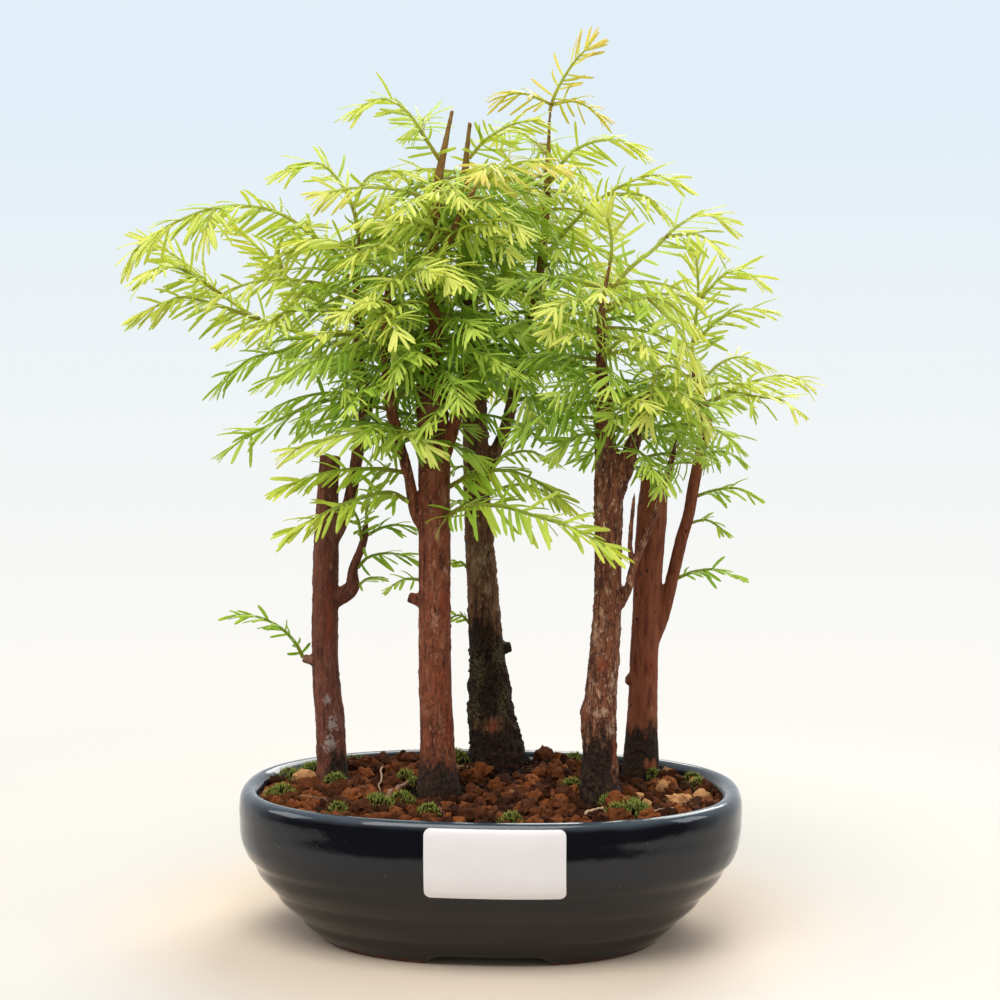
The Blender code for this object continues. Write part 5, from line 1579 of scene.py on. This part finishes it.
def needle_finish(name, old, fresh, rib):
    finish = Finish(name, {"Roughness": 0.42, "Specular IOR Level": 0.4})
    share = finish.value("fresh") * 0.75 + finish.value("tint") * 0.45 - 0.1
    colour = finish.blend(paint(*old), paint(*fresh), share)
    colour = finish.blend(colour, finish.blend(colour, paint(236, 240, 140), 0.5),
                          finish.cloud(1.2, 2.0, 0.5).between(0.55, 0.8) * 0.4)
    colour = finish.blend(colour, paint(222, 164, 96), finish.value("blush") * 0.85)
    wood = finish.blend(paint(116, 78, 44), paint(*rib), finish.value("fresh").between(0.0, 0.35))
    finish.feed("Base Color", finish.blend(colour, wood, finish.value("rib")))
    glow = [min(255, part + lift) for part, lift in zip(fresh, THROUGH_LIFT)]
    through = finish.node("BsdfTranslucent", values={"Color": paint(*glow)})
    plain = Wire(finish, finish.shader.outputs[0])
    mix = finish.node("MixShader", values={0: THROUGH_SHARE, 1: plain, 2: through})
    finish.links.new(mix.socket, finish.nodes["Material Output"].inputs["Surface"])
    return finish.material


NEEDLES = {kind: needle_finish(kind + "_needles", *colours) for kind, colours in NEEDLE_COLOURS.items()}
GOLDEN_ABOVE = 325.0
BLADE_EDGE = math.radians(60.0)
CROWN_HALF_LENGTH = 120.0
CROWN_HALF_WIDTH = 75.0
CROWN_BASE = 200.0


def light_at(tip):
    """Which needles grow at a tip: the lighter its place in the crown, the younger and paler, partly as
    painted light, and the deeper, the darker, as painted shade.
    """
    if tip.z > GOLDEN_ABOVE:
        return "golden"
    # Paler finishes high and outside, darker ones deep inside: partly painted light and shade.
    outer = math.hypot((tip.x - CROWN_X) / CROWN_HALF_LENGTH, (tip.y - CROWN_Y) / CROWN_HALF_WIDTH)
    light = outer + (tip.z - CROWN_BASE) / CROWN_HALF_LENGTH
    return "young" if light > 0.95 else "full" if light > 0.45 else "deep"


def blush_at(tip, draw):
    """How tan the needles' ends are: fully on the top shoot, a little on some high sprays."""
    if tip.z > GOLDEN_ABOVE:
        return 0.7
    return draw.uniform(0.25, 0.8) if tip.z > 270.0 and draw.random() < 0.4 else 0.0


# %% The sprays that stand for the frame's own
def make_sprays():
    """Grow each named spray with its side shoots, as one piece in place of its solid."""
    draw = random.Random(SEED + 2)
    needles = 0
    for tree, sprays in SPRAYS.items():
        for number, (limb, z, route, options) in enumerate(sprays, start=1):
            points = [seen(*spot) for spot in route]
            points.insert(0, seat(tree, limb, z, points[0]))
            leafage = Leafage()
            tip = even_rows(points, NEEDLE_PITCH)[-1]
            kind = light_at(tip)
            blush = blush_at(tip, draw)
            rows = leafage.grow_spray(points, {**options, "blush": blush}, draw)
            for share, side_route in options.get("sides", []):
                row = max(1, round(share * (len(rows) - 1)))
                side_points = [rows[row]] + [seen(*spot) for spot in side_route]
                side_look = {key: options.get(key, 1.0) for key in ("length", "width", "pitch")}
                side_look["blush"] = blush
                leafage.grow_spray(side_points, side_look, draw)
            node = f"{tree}_spray_{number:02d}"
            look = NEEDLES[options.get("look", kind)]
            item = make_piece("fine_" + node, leafage.points, leafage.faces, look, leafage.values)
            item.data.set_sharp_from_angle(angle=BLADE_EDGE)
            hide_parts(node)
            needles += leafage.needles
    return needles


print("needles on the frame's sprays:", make_sprays())

# %% [markdown]
# Between those sprays a real crown is full of shorter ones. A few low shoots that the photo shows singly are
# listed one by one. The others are grown by rule: round each limb at the angle that real shoots keep, rising
# a little and then drooping, and shorter where the crown's outline is near.

# %% The sprays that fill the crown
GOLDEN_ANGLE = math.radians(137.5)
SHOOTS = [
    ("back", "trunk", 138, [(-11, 139.6, 41), (-14.5, 139, 39)], 0.4),
    ("back", "trunk", 117, [(-11, 119.4, 41), (-15, 118.6, 39)], 0.4),
    ("left", "low", 131, [(-46, 133.6, 19), (-41, 133.4, 17)], 0.45),
    ("left", "low", None, [(-46.4, 162, 17), (-45, 169, 13), (-42, 174.5, 8)], 0.75),
    ("left", "low", 148, [(-50, 156, 12), (-53, 161, 6), (-57, 162, -1)], 0.7),
    ("centre", "trunk", 133, [(-32, 133.2, -3), (-39, 129.5, -5)], 0.5),
    ("right", "branch", 155, [(82, 155.6, 31), (89.6, 150.5, 31)], 0.5),
    ("right", "branch", 181, [(88, 181.5, 32), (96.3, 177.5, 32)], 0.55),
    ("back", "leader", 180, [(14, 181.6, 44), (26.5, 176.6, 45)], 0.6),
    ("back", "trunk", 160, [(-11, 163, 40), (-16, 161, 36)], 0.6),
    ("back", "trunk", 173, [(-11, 176, 36), (-17, 172, 30)], 0.7),
    ("back", "trunk", 166, [(10, 169, 40), (19, 167, 36), (27, 161, 34)], 0.7),
    ("front", "trunk", 184, [(38, 188, -20), (30, 186, -24), (23, 179, -26)], 0.85),
    ("front", "trunk", 231, [(54, 232, -16), (63, 227.7, -18)], 0.6),
]
CROWN_OUTLINE = [(140, -40, 50), (160, -62, 66), (180, -88, 96), (200, -100, 118), (222, -104, 118),
                 (245, -132, 106), (262, -136, 96), (280, -100, 80), (296, -62, 66), (308, -50, 50),
                 (322, -16, 46), (342, 8, 48)]
FILLS = [
    ("left", "high", 188, 262, 22, 42), ("centre", "left", 184, 243, 19, 38),
    ("centre", "trunk", 206, 284, 38, 42), ("centre", "fork", 194, 212, 6, 34),
    ("centre", "olive", 248, 280, 10, 32), ("back", "trunk", 208, 286, 31, 42),
    ("back", "leader", 200, 290, 33, 40), ("front", "trunk", 192, 246, 27, 38),
    ("front", "fork", 177, 208, 12, 32), ("right", "branch", 174, 211, 13, 30),
    ("front", "side", 162, 185, 4, 22),
]
OUTLINE_MARGIN = 8.0
CROWN_DEPTH = (-58.0, 84.0)
FILL_CUTS = (1.0, 0.8, 0.62, 0.45)
FILL_DROP = math.radians(42.0)
FAR_UP = Vector((0.0, 0.0, 999.0))


def outline_at(z):
    """How far left and right the crown shows at a height in the front view."""
    for low, high in zip(CROWN_OUTLINE, CROWN_OUTLINE[1:]):
        if low[0] <= z <= high[0]:
            share = (z - low[0]) / (high[0] - low[0])
            return low[1] + share * (high[1] - low[1]), low[2] + share * (high[2] - low[2])
    return 0.0, 0.0


def inside_crown(place):
    """Whether a needle at a place stays within the crown's outline and depth."""
    x, z = shown(place)
    left, right = outline_at(z)
    wide_enough = left + OUTLINE_MARGIN < x < right - OUTLINE_MARGIN
    return wide_enough and CROWN_DEPTH[0] < place.y < CROWN_DEPTH[1]


def fill_route(tree, limb, z, angle, size, draw):
    """A short drooping route that leaves a limb at an angle."""
    heading = Vector((math.cos(angle), math.sin(angle), 0.0))
    near = seat(tree, limb, z, FAR_UP)
    foot = seat(tree, limb, z, near + heading * 50.0)
    lift = math.radians(draw.uniform(8.0, 34.0))
    turn = draw.uniform(-0.3, 0.3)
    points = [foot]
    for step in range(1, 4):
        share = step / 3.0
        slope = lift - FILL_DROP * share
        heading = Matrix.Rotation(turn / 3.0, 3, "Z") @ heading
        along = heading * math.cos(slope) + Vector((0.0, 0.0, math.sin(slope)))
        points.append(points[-1] + along * size / 3.0)
    return points


def make_fills():
    """Grow the filling sprays, and gather them by tree and by kind of needle."""
    draw = random.Random(SEED + 3)
    gathered = {}
    for tree, limb, z, route, length in SHOOTS:
        points = [seen(*spot) for spot in route]
        points.insert(0, seat(tree, limb, z, points[0]))
        leafage = gathered.setdefault((tree, "full"), Leafage())
        leafage.grow_spray(points, {"length": length}, draw)
    for tree, limb, low, high, count, size in FILLS:
        for number in range(count):
            z = low + (high - low) * (number + 0.5) / count + draw.uniform(-1.5, 1.5)
            z = min(max(z, low), high)
            angle = number * GOLDEN_ANGLE + draw.uniform(-0.4, 0.4)
            for cut in FILL_CUTS:
                points = fill_route(tree, limb, z, angle, size * cut * draw.uniform(0.85, 1.1), draw)
                if all(inside_crown(point) for point in points[1:]):
                    kind = light_at(points[-1])
                    leafage = gathered.setdefault((tree, kind), Leafage())
                    look = {"length": draw.uniform(0.8, 1.0), "roll": draw.uniform(-0.6, 0.6),
                            "blush": blush_at(points[-1], draw)}
                    leafage.grow_spray(points, look, draw)
                    break
    for (tree, kind), leafage in gathered.items():
        name = f"{tree}_{kind}_filling"
        item = make_piece(name, leafage.points, leafage.faces, NEEDLES[kind], leafage.values)
        item.data.set_sharp_from_angle(angle=BLADE_EDGE)
    return sum(leafage.needles for leafage in gathered.values())


print("needles on the filling sprays:", make_fills())
